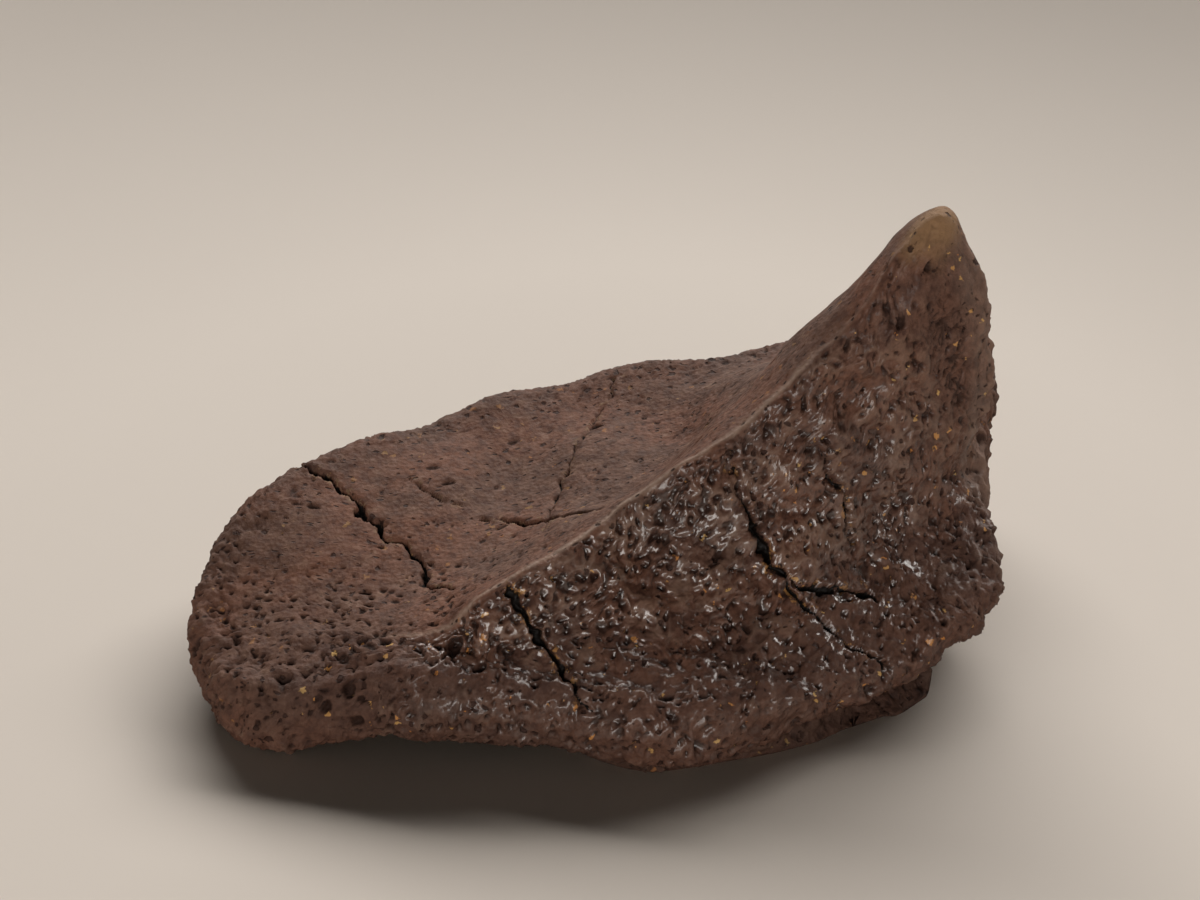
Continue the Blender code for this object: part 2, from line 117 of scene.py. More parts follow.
print(len(KEEL), "points on the keel,", len(STATIONS), "stations round the outline")

# %% [markdown]
# ## A smooth line through a few points
#
# Nineteen keel points and twenty-six stations are far too few to draw with, so a cubic
# spline fills in between them. Its slope at each point is found by one small set of
# equations, which ask that the line bends evenly through every point. For the outline
# the equations run round in a ring, so that the line closes on itself.

# %% Soft steps and lengths
def smooth_step(start, end, value):
    """0 at start, 1 at end and 3t^2 - 2t^3 of the share t between. End may be the lower."""
    share = np.clip((value - start) / (end - start), 0, 1)
    return share * share * (3 - 2 * share)


def path_lengths(points, power=1.0):
    """Distance along a line of points, each step raised to the power, starting at 0."""
    steps = np.linalg.norm(np.diff(points, axis=0), axis=1) ** power
    return np.append(0, np.cumsum(steps))


print("a soft step at a quarter of its way:", smooth_step(0, 1, 0.25).round(3))

# %% A spline
def spline(knots, values, at, closed=False):
    """Cubic Hermite curve through rows of values. Each slope makes the bend continuous:
    it solves gap2 * s1 + 2 (gap1 + gap2) * s2 + gap1 * s3 = 3 (gap2 * rise1 + gap1 * rise2)."""
    knots, values = np.asarray(knots, float), np.asarray(values, float)
    gap = np.diff(knots)
    rise = np.diff(values, axis=0) / gap[:, None]
    count = len(knots) - 1 if closed else len(knots)
    system = np.zeros((count, count))
    target = np.zeros((count, values.shape[1]))
    for i in range(count):
        if not closed and i in (0, count - 1):
            system[i, i], system[i, 1 if i == 0 else i - 1] = 2, 1
            target[i] = 3 * rise[0 if i == 0 else -1]
            continue
        before, after = gap[i - 1], gap[i]
        system[i, (i - 1) % count] += after
        system[i, i] += 2 * (before + after)
        system[i, (i + 1) % count] += before
        target[i] = 3 * (after * rise[i - 1] + before * rise[i])
    slope = np.linalg.solve(system, target)
    if closed:
        slope = np.vstack([slope, slope[:1]])
    i = np.clip(np.searchsorted(knots, at, side="right") - 1, 0, len(gap) - 1)
    h = gap[i][:, None]
    t = (np.asarray(at) - knots[i])[:, None] / h
    return (
        (2 * t**3 - 3 * t**2 + 1) * values[i]
        + (3 * t**2 - 2 * t**3) * values[i + 1]
        + (t**3 - 2 * t**2 + t) * h * slope[i]
        + (t**3 - t**2) * h * slope[i + 1]
    )


halfway = spline((0, 1, 2), ((0,), (1,), (4,)), [1.5])[0, 0]
print(f"halfway from 1 to 4, the spline through 0, 1 and 4 is at {halfway:.2f}")

# %% The keel's line
KEEL_SAMPLES = 3000
knots = path_lengths(np.array(KEEL, float), 0.5)
keel_line = spline(knots, KEEL, np.linspace(0, knots[-1], KEEL_SAMPLES))
keel_along = path_lengths(keel_line)
KEEL_LENGTH = keel_along[-1]
print(f"the keel is {KEEL_LENGTH:.0f} mm long")

# %% [markdown]
# ## Ribs
#
# Ribs come in pairs, one on each side of the same keel point, so that the front and the
# back of the bone meet there without a gap. Round the left end the ribs all start at the
# keel's first point, like the sticks of a fan. They stand closer together at the horn's
# tip, where the form is sharpest.

# %% Where the ribs stand
KEEL_COLUMNS = 560
FAN_COLUMNS = 150
LEFT_CROWDING = 0.6  # the lower it is, the closer the ribs stand at the keel's left end
TIP_SHARE, TIP_CROWDING, TIP_SPREAD = 0.74, 1.6, 0.05  # where, how much and how widely

table = np.array(STATIONS + STATIONS[:1], float)
ring_at = path_lengths(table[:, :2])
ring_at /= ring_at[-1]
horn_foot = len(LEFT_END) + len(BACK)
first_back = len(LEFT_END) - 1

fine = np.linspace(0, 1, KEEL_SAMPLES)
near_tip = np.exp(-(((fine - TIP_SHARE) / TIP_SPREAD) ** 2))
crowd = np.cumsum(1 / (fine + LEFT_CROWDING) + TIP_CROWDING * near_tip)
crowd = (crowd - crowd[0]) / (crowd[-1] - crowd[0])
keel_share = np.interp(np.linspace(0, 1, KEEL_COLUMNS + 1), crowd, fine)

back_knots = slice(first_back, horn_foot + 1)
back = spline(table[back_knots, KEEL_SHARE], ring_at[back_knots, None], keel_share)[:, 0]
front_shares = np.append(table[horn_foot:-1, KEEL_SHARE], 0)[::-1]
front = spline(front_shares, ring_at[horn_foot:][::-1, None], keel_share)[:, 0]
fan = np.linspace(0, ring_at[first_back], FAN_COLUMNS + 1)
ring = np.concatenate([fan, back[1:], front[1:-1][::-1]])
share = np.concatenate([np.zeros(len(fan)), keel_share[1:], keel_share[1:-1][::-1]])
stations = spline(ring_at, table, ring, closed=True)
print(len(ring), "ribs")

# %% [markdown]
# ## From ribs to a closed surface
#
# The whole bone is one grid: its rows go from the keel to the roof of the hollow, and its
# columns go round. Every row leans on the outline, moved inwards and set at some height, so
# each rib has to know which way is outwards. That direction is averaged over many ribs,
# because the true one would make a corner of every small bend.

# %% The outline and the keel, rib by rib
# How far the lip lies inside the widest line, and the share of the keel where that changes
LIP_INSET, LIP_INSET_AT_HORN, HORN_FOOT_STARTS = 5.5, 2.7, 0.84
SIDE_WIDTH = 65  # how many ribs the outward direction is averaged over


def ring_average(values, width):
    """Running average round the ring, weighted by a bell so that it has no corners."""
    kernel = np.hanning(width + 2)[1:-1]
    kernel /= kernel.sum()
    padded = np.concatenate([values[-width:], values, values[:width]])
    return np.convolve(padded, kernel, "same")[width:-width]


def outline_frame(stations, share):
    """The rim's widest line, its outward direction, and how far the lip lies inside it."""
    edge = stations[:, :2]
    along = np.roll(edge, -1, 0) - np.roll(edge, 1, 0)
    out = np.stack([ring_average(v, SIDE_WIDTH) for v in (-along[:, 1], along[:, 0])], -1)
    out /= np.linalg.norm(out, axis=1, keepdims=True)
    change = smooth_step(HORN_FOOT_STARTS, 1, share)
    return edge, out, LIP_INSET + (LIP_INSET_AT_HORN - LIP_INSET) * change


def level_line(edge, out, inset, height):
    """The widest line moved inwards by inset and set at height."""
    moved = edge - out * np.reshape(inset, (-1, 1))
    return np.concatenate([moved, np.reshape(height, (-1, 1))], 1)


keel = np.stack([np.interp(share * KEEL_LENGTH, keel_along, line) for line in keel_line.T], -1)
edge, out, lip_inset = outline_frame(stations, share)
print(f"the outline is {path_lengths(edge)[-1]:.0f} mm round")

# %% [markdown]
# ## The top
#
# Along each rib the top is a Bezier curve, which leaves the keel and meets the lip at the
# slopes that the stations give. Two handles are enough for a hollow back and a steep front.
# The keel of a real scute is worn round, so the rib's first stretch is rounded as well.

# %% From the keel to the lip
TOP_ROWS, TOP_CROWDING = 190, 1.25  # a crowding over 1 puts more rows near the keel
KEEL_HANDLE, LIP_HANDLE = 0.36, 0.40  # the curve's handles, as shares of the rib's length
# Radius of the ridge, that of the horn, and the shares of the keel between which it changes
KEEL_RADIUS, HORN_RADIUS, HORN_STARTS = 1.0, 2.2, (0.5, 0.7)


def top_rows(stations, share, keel, edge, out, lip_inset):
    """Bezier rib: (1-u)^3 keel + 3 (1-u)^2 u first + 3 (1-u) u^2 second + u^3 lip. Near
    the keel its reach r becomes sqrt(r^2 + 2 R r), which rounds the ridge to radius R."""
    end = level_line(edge, out, lip_inset, stations[:, 2])
    across = end[:, :2] - keel[:, :2]
    across /= np.linalg.norm(across, axis=1, keepdims=True)
    arriving = across + out
    arriving /= np.linalg.norm(arriving, axis=1, keepdims=True)
    length = np.linalg.norm(end - keel, axis=1, keepdims=True)
    leave, arrive = (np.radians(stations[:, [i]]) for i in (LEAVING, ARRIVING))
    first = keel + KEEL_HANDLE * length * np.hstack([across * np.cos(leave), -np.sin(leave)])
    second = end + LIP_HANDLE * length * np.hstack([-arriving * np.cos(arrive), np.sin(arrive)])
    u = (np.linspace(0, 1, TOP_ROWS) ** TOP_CROWDING)[:, None, None]
    v = 1 - u
    top = v**3 * keel + 3 * v**2 * u * first + 3 * v * u**2 * second + u**3 * end
    radius = KEEL_RADIUS + (HORN_RADIUS - KEEL_RADIUS) * smooth_step(*HORN_STARTS, share)
    aside = top[..., :2] - keel[:, :2]
    reach = np.linalg.norm(aside, axis=-1)
    rounded = np.sqrt(reach**2 + 2 * radius * reach * v[..., 0] ** 2)
    top[..., :2] = keel[:, :2] + aside * (rounded / np.maximum(reach, 1e-6))[..., None]
    return list(top)


top = top_rows(stations, share, keel, edge, out, lip_inset)
print(len(top), "rows from the keel to the lip")

# %% [markdown]
# ## The rolled rim and the hollow
#
# Two quarter ovals roll the surface round the rim. They need only the heights of the lip
# and of the low edge, so the rim can be thick in one place and thin in another. A spline
# through a few level lines takes the surface over the foot, which the scute stands on,
# and up into the hollow underneath. A cut would leave a sharp edge there.

# %% Round the rim
RIM_ROWS, RIM_ROUND, WIDEST_SHARE = 44, 0.9, 0.45


def rim_rows(stations, edge, out, lip_inset):
    """Two quarter ovals: from the lip out to the widest line, and from there in again to
    the low edge. Sines and cosines are raised to a power that fills the corners."""
    lip, low, low_inset = stations[:, 2], stations[:, 3], stations[:, 4]
    widest = low + (lip - low) * WIDEST_SHARE
    rows = []
    quarter = np.linspace(0, np.pi / 2, RIM_ROWS // 2 + 1)[1:]
    for angle in quarter:
        height = widest + (lip - widest) * np.cos(angle) ** RIM_ROUND
        rows.append(level_line(edge, out, lip_inset * (1 - np.sin(angle) ** RIM_ROUND), height))
    for angle in quarter:
        height = widest - (widest - low) * np.sin(angle) ** RIM_ROUND
        rows.append(level_line(edge, out, low_inset * (1 - np.cos(angle) ** RIM_ROUND), height))
    return rows


rolled = rim_rows(stations, edge, out, lip_inset)
print(len(rolled), "rows round the rim")

# %% Underneath
UNDER_ROWS = 36
GROOVE_PLACE = (0.6, 0.45)  # shares of the way in to the foot, and of the way up from it
ROOF = (8.0, -2.0, 13.0)  # the point in the hollow's roof where all ribs end
# Share of the way in to the roof, and shares of the roof's and the foot's height there
HOLLOW = ((0.12, 0, 1), (0.30, 0.55, 0.2), (0.60, 0.9, 0), (1.00, 1, 0))
CENTRE = (1.9, 2.1)  # middle of the outline, which becomes the origin


def under_rows(stations, edge, out):
    """Spline through level lines: low edge, groove, foot, and four steps to the roof."""
    low, low_inset, foot_inset, foot, groove = stations[:, 3:8].T
    across_share, height_share = GROOVE_PLACE
    over_foot = low_inset + (foot_inset - low_inset) * across_share + groove
    lines = [
        level_line(edge, out, low_inset, low),
        level_line(edge, out, over_foot, foot + (low - foot) * height_share),
        level_line(edge, out, foot_inset, foot),
    ]
    sole = lines[-1][:, :2]
    for portion, of_roof, of_foot in HOLLOW:
        height = of_roof * ROOF[2] + of_foot * foot
        lines.append(np.column_stack([sole + (ROOF[:2] - sole) * portion, height]))
    last = len(lines) - 1
    at = np.linspace(0, last, UNDER_ROWS + 1)[1:]
    made = spline(range(last + 1), np.stack(lines).reshape(last + 1, -1), at)
    return list(made.reshape(UNDER_ROWS, -1, 3))


grid = np.stack(top + rolled + under_rows(stations, edge, out))
grid[..., :2] -= CENTRE
print("grid of", grid.shape[0], "rows and", grid.shape[1], "columns")

# %% [markdown]
# ## A map that follows the bone
#
# Bone has a grain. On this scute the fibres run beside the keel and spread out round its
# ends. So every point also gets a place on a flat map: how far along the keel it lies,
# and how far to the side, behind or in front. Round both ends of the keel the map turns
# like a compass, so it has no jump anywhere. Streaks that are long on this map follow
# the grain on the bone.

# %% Along and aside
END_TURNS = (0.88, 1.0)  # shares of the keel over which the map turns round the horn's foot

steps = np.linalg.norm(np.diff(grid, axis=0), axis=-1)
reach = np.concatenate([np.zeros((1, len(ring))), np.cumsum(steps, axis=0)])
is_fan = np.arange(len(ring)) <= FAN_COLUMNS
is_front = np.arange(len(ring)) > FAN_COLUMNS + KEEL_COLUMNS
round_left = (np.arange(len(ring)) / FAN_COLUMNS - 0.5) * np.pi
round_horn = np.pi / 2 * (1 - smooth_step(*END_TURNS, share)) * np.where(is_front, -1, 1)
along = np.where(
    is_fan, -reach * np.cos(round_left), share * KEEL_LENGTH + reach * np.cos(round_horn)
)
aside = np.where(is_fan, reach * np.sin(round_left), reach * np.sin(round_horn))
row_part = np.concatenate([
    np.linspace(0, 1, TOP_ROWS),
    1 + np.linspace(0, 1, RIM_ROWS + 1)[1:],
    2 + np.linspace(0, 1, UNDER_ROWS + 1)[1:],
])[:, None] * np.ones(len(ring))
print(f"along from {along.min():.0f} to {along.max():.0f}, aside to {abs(aside).max():.0f} mm")

# %% [markdown]
# ## One skin
#
# The grid's first row meets itself along the keel, and its last row is one point, so
# those corners are shared. Each square becomes two triangles, and a triangle that lost
# a side in the sharing is dropped.

# %% Sharing corners
def shared_corners(grid):
    """Number of each corner, the same for corners in one place of the first or last row."""
    rows, count, _ = grid.shape
    number = np.arange(rows * count).reshape(rows, count)
    for row in (0, rows - 1):
        _, first, same = np.unique(
            np.round(grid[row], 3), axis=0, return_index=True, return_inverse=True
        )
        number[row] = number[row][first][same.reshape(-1)]
    return number


def triangles(number):
    """Two triangles for each square of the grid, without those that have no area."""
    a, b = number[:-1], number[1:]
    c, d = np.roll(b, -1, 1), np.roll(a, -1, 1)
    both = np.stack([np.stack([a, b, c], -1), np.stack([a, c, d], -1)]).reshape(-1, 3)
    whole = (both[:, 0] != both[:, 1]) & (both[:, 1] != both[:, 2]) & (both[:, 2] != both[:, 0])
    return both[whole]


number = shared_corners(grid)
faces = triangles(number)
used, faces = np.unique(faces, return_inverse=True)
faces = faces.reshape(-1, 3)
points, along, aside, row_part = (
    grid.reshape(-1, 3)[used], along.reshape(-1)[used],
    aside.reshape(-1)[used], row_part.reshape(-1)[used],
)
print(len(points), "corners and", len(faces), "triangles")

# %% Which way is out
def normals_of(points, faces):
    """Average direction of the triangles round each corner, weighted by their area."""
    a, b, c = (points[faces[:, i]] for i in range(3))
    area = np.cross(b - a, c - a)
    total = np.stack([
        sum(np.bincount(faces[:, k], weights=area[:, i], minlength=len(points)) for k in range(3))
        for i in range(3)
    ], -1)
    return total / np.maximum(np.linalg.norm(total, axis=1, keepdims=True), 1e-12)


if normals_of(points, faces)[row_part < 1, 2].sum() < 0:
    faces = faces[:, ::-1]
print(f"on top the normals rise by {normals_of(points, faces)[row_part < 1, 2].mean():.2f}")

# %% [markdown]
# ## Lumps
#
# Before the fine relief come the lumps that the solid model has too, so that skin and
# solid agree: three sizes of crossed waves, from 24 mm down to 5.5 mm across. The seeds
# and sizes are the same. The worn feet stay flat, and on the smooth face behind the keel
# the smaller lumps nearly fade out.

# %% Lumps of the solid
# Across, height, seed, and the share that is left behind the keel
LUMPS = ((24.0, 0.9, 5, 0.8), (10.0, 0.45, 8, 0.3), (5.5, 0.22, 13, 0.15))
SOLE_FADE, LUMPS_ON_SOLE = 7.0, 0.15  # below this height they fade to this share
WAVES, WAVE_SCALE = 7, 2.6  # sines for each direction, and what their sum is divided by


def waves(points, across, seed):
    """Sum of sines in random directions, `across` millimetres from crest to crest."""
    random = np.random.default_rng(seed)
    moved = np.zeros(points.shape)
    for axis in range(3):
        for _ in range(WAVES):
            direction = random.normal(size=3)
            direction *= 2 * np.pi / across / np.linalg.norm(direction)
            moved[..., axis] += np.sin(points @ direction + random.uniform(0, 2 * np.pi))
    return moved / WAVE_SCALE


fade = LUMPS_ON_SOLE + (1 - LUMPS_ON_SOLE) * smooth_step(0, SOLE_FADE, points[:, 2:])
smooth_face = smooth_step(-10, 4, aside) * smooth_step(2.1, 1.7, row_part)
form = points + sum(
    height * fade * (1 + (left - 1) * smooth_face[:, None]) * waves(points, across, seed)
    for across, height, seed, left in LUMPS
)
normals = normals_of(form, faces)
print("lumps move the form by up to", np.linalg.norm(form - points, axis=1).max().round(1), "mm")

# %% [markdown]
# ## Random patterns without a texture
#
# Three tools make the fine relief. `noise` is a hilly landscape: every whole number gets a
# random slope, and the slopes are blended between. `pits` scatters round hollows, one in
# each cell of a grid at most. `walls` is a honeycomb with uneven cells. All take places,
# so stretching the places stretches the pattern. The random numbers come from mixing the
# bits of whole numbers, which gives the same bone every time.

# %% Random numbers and noise
MIXERS = (73856093, 19349663, 83492791, 2654435761)  # large odd numbers
WORD = 0xFFFFFFFF  # keeps the lowest 32 bits


def hashed(cells, seed, count):
    """`count` random numbers from 0 to 1 for each row of three whole numbers."""
    word = (
        cells[:, 0] * MIXERS[0] ^ cells[:, 1] * MIXERS[1] ^ cells[:, 2] * MIXERS[2]
        ^ seed * MIXERS[3]
    ) & WORD
    found = []
    for _ in range(count):
        word = ((word ^ (word >> 15)) * 0x2C1B3C6D) & WORD
        word = ((word ^ (word >> 12)) * 0x297A2D39) & WORD
        word = word ^ (word >> 15)
        found.append(word / WORD)
    return np.stack(found, -1)


def noise(places, seed):
    """Hills and hollows one unit apart: random slopes at the eight corners round a place,
    each times the way to the place, blended by 6t^5 - 15t^4 + 10t^3. The sum is raised 1.6
    times, to about -1 to 1."""
    base = np.floor(places).astype(np.int64)
    part = places - base
    blend = part**3 * (part * (6 * part - 15) + 10)
    total = np.zeros(len(places))
    for corner in np.ndindex(2, 2, 2):
        slope = 2 * hashed(base + corner, seed, 3) - 1
        weight = np.prod(np.where(corner, blend, 1 - blend), axis=1)
        total += weight * ((part - corner) * slope).sum(1)
    return 1.6 * total


sample = noise(form[::97] / 3, 1)
print(f"noise runs from {sample.min():.2f} to {sample.max():.2f}")

# %% Pits
def pits(places, seed, density, radius):
    """0 outside and 1 at the bottom of a round pit. A cell one unit wide holds a pit with
    the chance `density`. Its radius is random between the two given. A skin rarely meets a
    pit's middle, so the depth d is raised to 1.35 d first, and then to d (2 - d)."""
    base = np.floor(places).astype(np.int64)
    deep = np.zeros(len(places))
    for step in np.ndindex(3, 3, 3):
        cell = base + step - 1
        random = hashed(cell, seed, 5)
        apart = np.linalg.norm(cell + random[:, :3] - places, axis=1)
        size = radius[0] + (radius[1] - radius[0]) * random[:, 3]
        inside = np.clip(1 - apart / size, 0, 1) * (random[:, 4] < density)
        deep = np.maximum(deep, inside)
    deep = np.clip(1.35 * deep, 0, 1)
    return deep * (2 - deep)


sample = pits(form[::97] / 3, 1, 0.5, (0.2, 0.4))
print(f"such pits cover {(sample > 0).mean():.0%} of the skin")

# %% Walls and a shake
def walls(places, seed):
    """1 on the wall between two cells, 0 inside them. Each cell of a grid holds one random
    point. The nearest is d1 away and the next d2, and a wall is where d2 - d1 is small."""
    base = np.floor(places).astype(np.int64)
    first = np.full(len(places), np.inf)
    second = first.copy()
    for step in np.ndindex(3, 3, 3):
        cell = base + step - 1
        away = np.linalg.norm(cell + hashed(cell, seed, 3) - places, axis=1)
        second = np.minimum(second, np.maximum(first, away))
        first = np.minimum(first, away)
    return 1 - smooth_step(0.0, 0.5, second - first)


def shaken_by(places, across, seed):
    """Three noises at once, one for each direction, to shift places by."""
    return np.stack([noise(places / across, seed + i) for i in range(3)], -1)


sample = walls(form[::97] / 3, 1)
print(f"such walls cover {(sample > 0.5).mean():.0%} of the skin")

# %% [markdown]
# ## Which part of the bone is which
#
# The same bone looks different in each region. In front of the keel it is deeply pitted
# and wet-looking, behind it smooth and matt. The rim is bumpy. The horn is smoother
# towards its tip. Each region is a soft mask, 1 inside and 0 outside, so that one
# texture fades into the next. It fades between two places in millimetres, or between two
# parts of a rib: 0 to 1 on top, 1 to 2 round the rim and 2 to 3 underneath.

# %% Regions
x, y, height = form.T
on_top = smooth_step(1.05, 0.9, row_part)
under = smooth_step(1.85, 2.05, row_part)
rim = smooth_step(0.84, 1.02, row_part) * (1 - under)
in_front = smooth_step(0.2, 1.6, -aside) * smooth_step(-4, 8, along)
behind = 1 - in_front
at_back = smooth_step(-5, 15, y)
horn = smooth_step(47, 60, height)
calm = 1 - 0.6 * smooth_step(56, 70, height)
from_tip = np.linalg.norm(form - np.array(KEEL[HORN_TIP]) + (*CENTRE, 0), axis=1)
ragged_tip = from_tip + 2.2 * noise(form / 4, 71) + 0.9 * noise(form / 1.3, 72)
tip = smooth_step(11, 3, ragged_tip)
past_tip = smooth_step(0.74, 0.80, along / KEEL_LENGTH) * (1 - smooth_step(5, 13, abs(aside)))
jagged = aside + 0.45 * noise(form / 1.6, 73) + 0.25 * noise(form / 0.7, 74)
crest = (
    np.exp(-((jagged / 0.5) ** 2)) * on_top * smooth_step(8, 22, along)
    * (1 - 0.75 * smooth_step(50, 62, height)) * (1 - past_tip)
)
low_left = smooth_step(-4, -20, y) * smooth_step(4, -14, x) * behind
right_side = smooth_step(60, 69, x) * (1 - tip) * (1 - under)
broken_piece = (
    smooth_step(36, 44, x) * smooth_step(-10, -18, y)
    * smooth_step(1.9, 2.1, row_part) * smooth_step(2.9, 2.5, row_part)
)
glossy = (
    in_front * smooth_step(12, 24, along) * (1 - 0.5 * rim)
    * (1 - 0.5 * smooth_step(26, 44, height) - 0.4 * horn)
    * (1 - 0.7 * smooth_step(48, 62, x)) * (1 - under) * (1 - tip)
)
print("share of the corners in front:", in_front.mean().round(2), " rim:", rim.mean().round(2))

# %% [markdown]
# ## The relief
#
# In front of the keel the surface is a honeycomb of bony walls in some places and folds in
# others. Pits of two sizes sink into it, and flutes run down from the keel. Behind the keel
# lie faint streaks and short slits, all along the grain. The rim has lumps, pits and fibres,
# and it is roughest at the right end, where a piece broke off underneath. Each pattern is
# multiplied by its height in millimetres, up or down from the form.

# %% Relief in front of the keel
wander = shaken_by(form, 2.2, 31)
warped = form + 0.75 * wander + 0.22 * shaken_by(form, 0.9, 34)
chart = np.stack([along, aside, 0 * along], -1)

honeycomb = walls(warped / 2.3, 41)
folds = np.clip(1 - np.abs(noise(warped / 2.0, 47)) / 0.2, 0, 1)
folded = smooth_step(-0.3, 0.3, noise(form / 8, 48))
front_pits = pits(warped / 1.9, 42, 0.65, (0.22, 0.45))
big_front_pits = pits(warped / 4.2, 43, 0.55, (0.2, 0.36))
near_crest = smooth_step(0.8, 2.6, -aside) * smooth_step(16, 8, -aside)
flutes = near_crest * pits(chart / (1.9, 3.2, 1) + 0.25 * wander, 44, 0.75, (0.25, 0.55))
crumbs = 0.07 * noise(form / 0.9, 49)
front_relief = calm * (
    0.5 * honeycomb * (1 - folded) - 0.5 * folds * folded + 0.3 * noise(form / 4.5, 45)
    - 0.95 * front_pits - 0.8 * big_front_pits - 0.7 * flutes + crumbs
)
horn_holes = pits(form / 2.4, 46, 0.55, (0.13, 0.24)) * smooth_step(42, 56, height)

# %% Relief behind the keel
streaks = noise(chart / (9, 0.8, 1), 51) * 0.04 + noise(chart / (16, 3.0, 1), 52) * 0.07
dashes = pits(chart / (8.0, 4.2, 1) + 0.08 * wander, 53, 0.5, (0.09, 0.20))
short_dashes = pits(chart / (3.4, 2.0, 1) + 0.1 * wander, 56, 0.32, (0.15, 0.34))
specks = pits(form / 2.1, 54, 0.3, (0.15, 0.3))
back_relief = (
    streaks - 0.8 * dashes - 0.5 * short_dashes - 0.35 * specks + 0.12 * noise(form / 3.5, 55)
    - low_left * (0.5 * front_pits + 0.12 * folds)
)

# %% Relief of the rim and underneath
rim_pits = pits(warped / 3.1, 61, 0.42, (0.2, 0.42))
rim_lumps = noise(warped / 3.4, 62)
fibres = noise(chart / (1.0, 7, 1), 65) * 0.16 + noise(chart / (7, 1.0, 1), 66) * 0.12
rim_relief = (
    0.45 * rim_lumps + 0.26 * noise(warped / 1.3, 63) - rim_pits + fibres
    - 0.95 * front_pits - 0.35 * folds
) * (1 - 0.55 * at_back) + 0.3 * noise(form / 1.2, 60)
edge_fibres = 0.35 * noise(chart / (8, 1.1, 1), 67)
under_relief = (
    0.9 * rim_lumps + 0.7 * noise(form / 1.7, 70) - 0.9 * rim_pits
    - 0.7 * front_pits + 0.6 * noise(form / 6, 64)
)

# %% All of the relief
body_relief = in_front * (front_relief - 0.8 * horn_holes) + behind * back_relief
body_relief = body_relief * (1 - past_tip) + edge_fibres * past_tip
relief = body_relief * (1 - rim) * (1 - under) + rim_relief * rim + under_relief * under
relief += right_side * (0.85 * noise(form / 2.6, 68) + 0.5 * noise(form / 1.3, 69))
relief *= smooth_step(0, 1.5, height) * (1 - 0.4 * tip)
relief += broken_piece * (1.4 * noise(form / 4.0, 75) - 0.75 * walls(form / 3.4, 76))
print(f"relief from {relief.min():.2f} to {relief.max():.2f} mm")

# %% [markdown]
# ## Cracks
#
# The scute broke while it lay in the ground and was set together again. Each crack is a
# line over the surface with a width at every point. A corner of the skin lies in the
# crack when its distance from the line, measured along the surface, is less than half
# the width. The line is shaken by noise, because stone never breaks straight. Cutting
# with wedges would be another way, but it would leave long thin triangles beside the cuts.

# %% Where the cracks run
# Greatest depth, how far the first end runs out past the rim, how far its width comes and
# goes, and the points of the line, each with a width
CRACKS = {
    "crack_back_left": (5.0, 5.0, 0.25, (
        (-56.8, 10.4, 22.6, 1.6), (-52.2, 7.3, 23.0, 1.1), (-47.2, 3.2, 22.0, 0.6),
        (-45.6, -1.0, 20.9, 1.1), (-41.8, -3.3, 20.3, 1.3), (-41.8, -6.5, 19.6, 0.7),
        (-37.0, -8.6, 19.3, 1.0), (-34.6, -11.5, 19.0, 0.6), (-33.0, -15.7, 18.8, 1.1),
        (-33.6, -18.6, 19.0, 0.9), (-30.0, -20.7, 19.4, 0.4), (-27.8, -22.8, 20.0, 0.4))),
    "crack_back": (3.0, 0, 0.8, (
        (2.1, 40.1, 25.2, 0.4), (-1.9, 30.9, 24.1, 0.5), (-4.8, 21.9, 23.1, 0.5),
        (-7.6, 13.0, 22.3, 0.5), (-10.3, 4.0, 21.9, 0.5), (-11.4, -4.4, 22.4, 0.5),
        (-11.9, -11.0, 23.0, 0.4))),
    "crack_hollow": (3.2, 0, 0.5, (
        (-24.1, -0.6, 20.6, 0.5), (-20.3, -1.7, 20.8, 0.7), (-14.5, -4.4, 21.6, 1.4),
        (-11.9, -5.3, 22.4, 1.2), (-6.4, -6.9, 24.7, 1.3), (-1.0, -11.0, 29.0, 0.5))),
    "crack_twig": (2.0, 0, 0.5, (
        (-37.5, 7.6, 22.0, 0.4), (-31.7, 3.0, 21.0, 0.7), (-27.0, 2.3, 20.8, 0.4))),
    "crack_keel": (4.5, 0, 0.2, (
        (-17.3, -31.4, 27.7, 0.9), (-15.6, -33.2, 24.5, 1.4), (-13.1, -35.0, 20.6, 1.1),
        (-9.6, -38.3, 17.7, 0.8), (-6.7, -42.1, 16.5, 1.3), (-5.3, -47.0, 15.2, 0.9),
        (-2.7, -49.6, 12.6, 0.4))),
    "crack_front": (6.0, 0, 0.35, (
        (21.4, -13.6, 42.5, 0.4), (22.9, -15.2, 38.0, 0.6), (24.6, -17.0, 33.5, 1.0),
        (25.6, -18.2, 30.5, 2.1), (27.1, -20.3, 26.6, 2.4), (28.4, -21.6, 24.0, 1.0),
        (30.7, -23.5, 21.3, 1.2), (34.2, -25.6, 18.4, 1.0), (39.3, -29.3, 15.8, 0.8),
        (44.3, -32.4, 15.0, 1.0), (47.6, -34.7, 13.5, 1.5), (49.5, -36.0, 9.5, 0.6))),
    "crack_crescent": (3.5, 0, 0.3, (
        (30.2, -22.2, 22.6, 0.6), (33.4, -22.9, 20.8, 1.2), (37.0, -23.0, 19.3, 1.6),
        (39.8, -21.1, 19.8, 1.1), (44.3, -20.9, 18.5, 1.4), (47.8, -22.1, 17.1, 0.6))),
    "groove_horn": (2.0, 0, 0.4, (
        (35.8, -10.1, 43.0, 0.5), (39.6, -11.6, 35.5, 1.0), (42.5, -12.0, 31.4, 1.0),
        (42.3, -14.4, 26.5, 0.9), (44.1, -15.3, 23.8, 0.5))),
}
for name, (*_, route) in CRACKS.items():
    print(f"{name} is {path_lengths(np.array(route)[:, :3])[-1]:.0f} mm long")

# %% Distance along the skin
SKIN_REACH = 6.0  # what lies further up or down than this is on another side of the bone
FAR = 9.0  # stands for any distance that is too large to matter


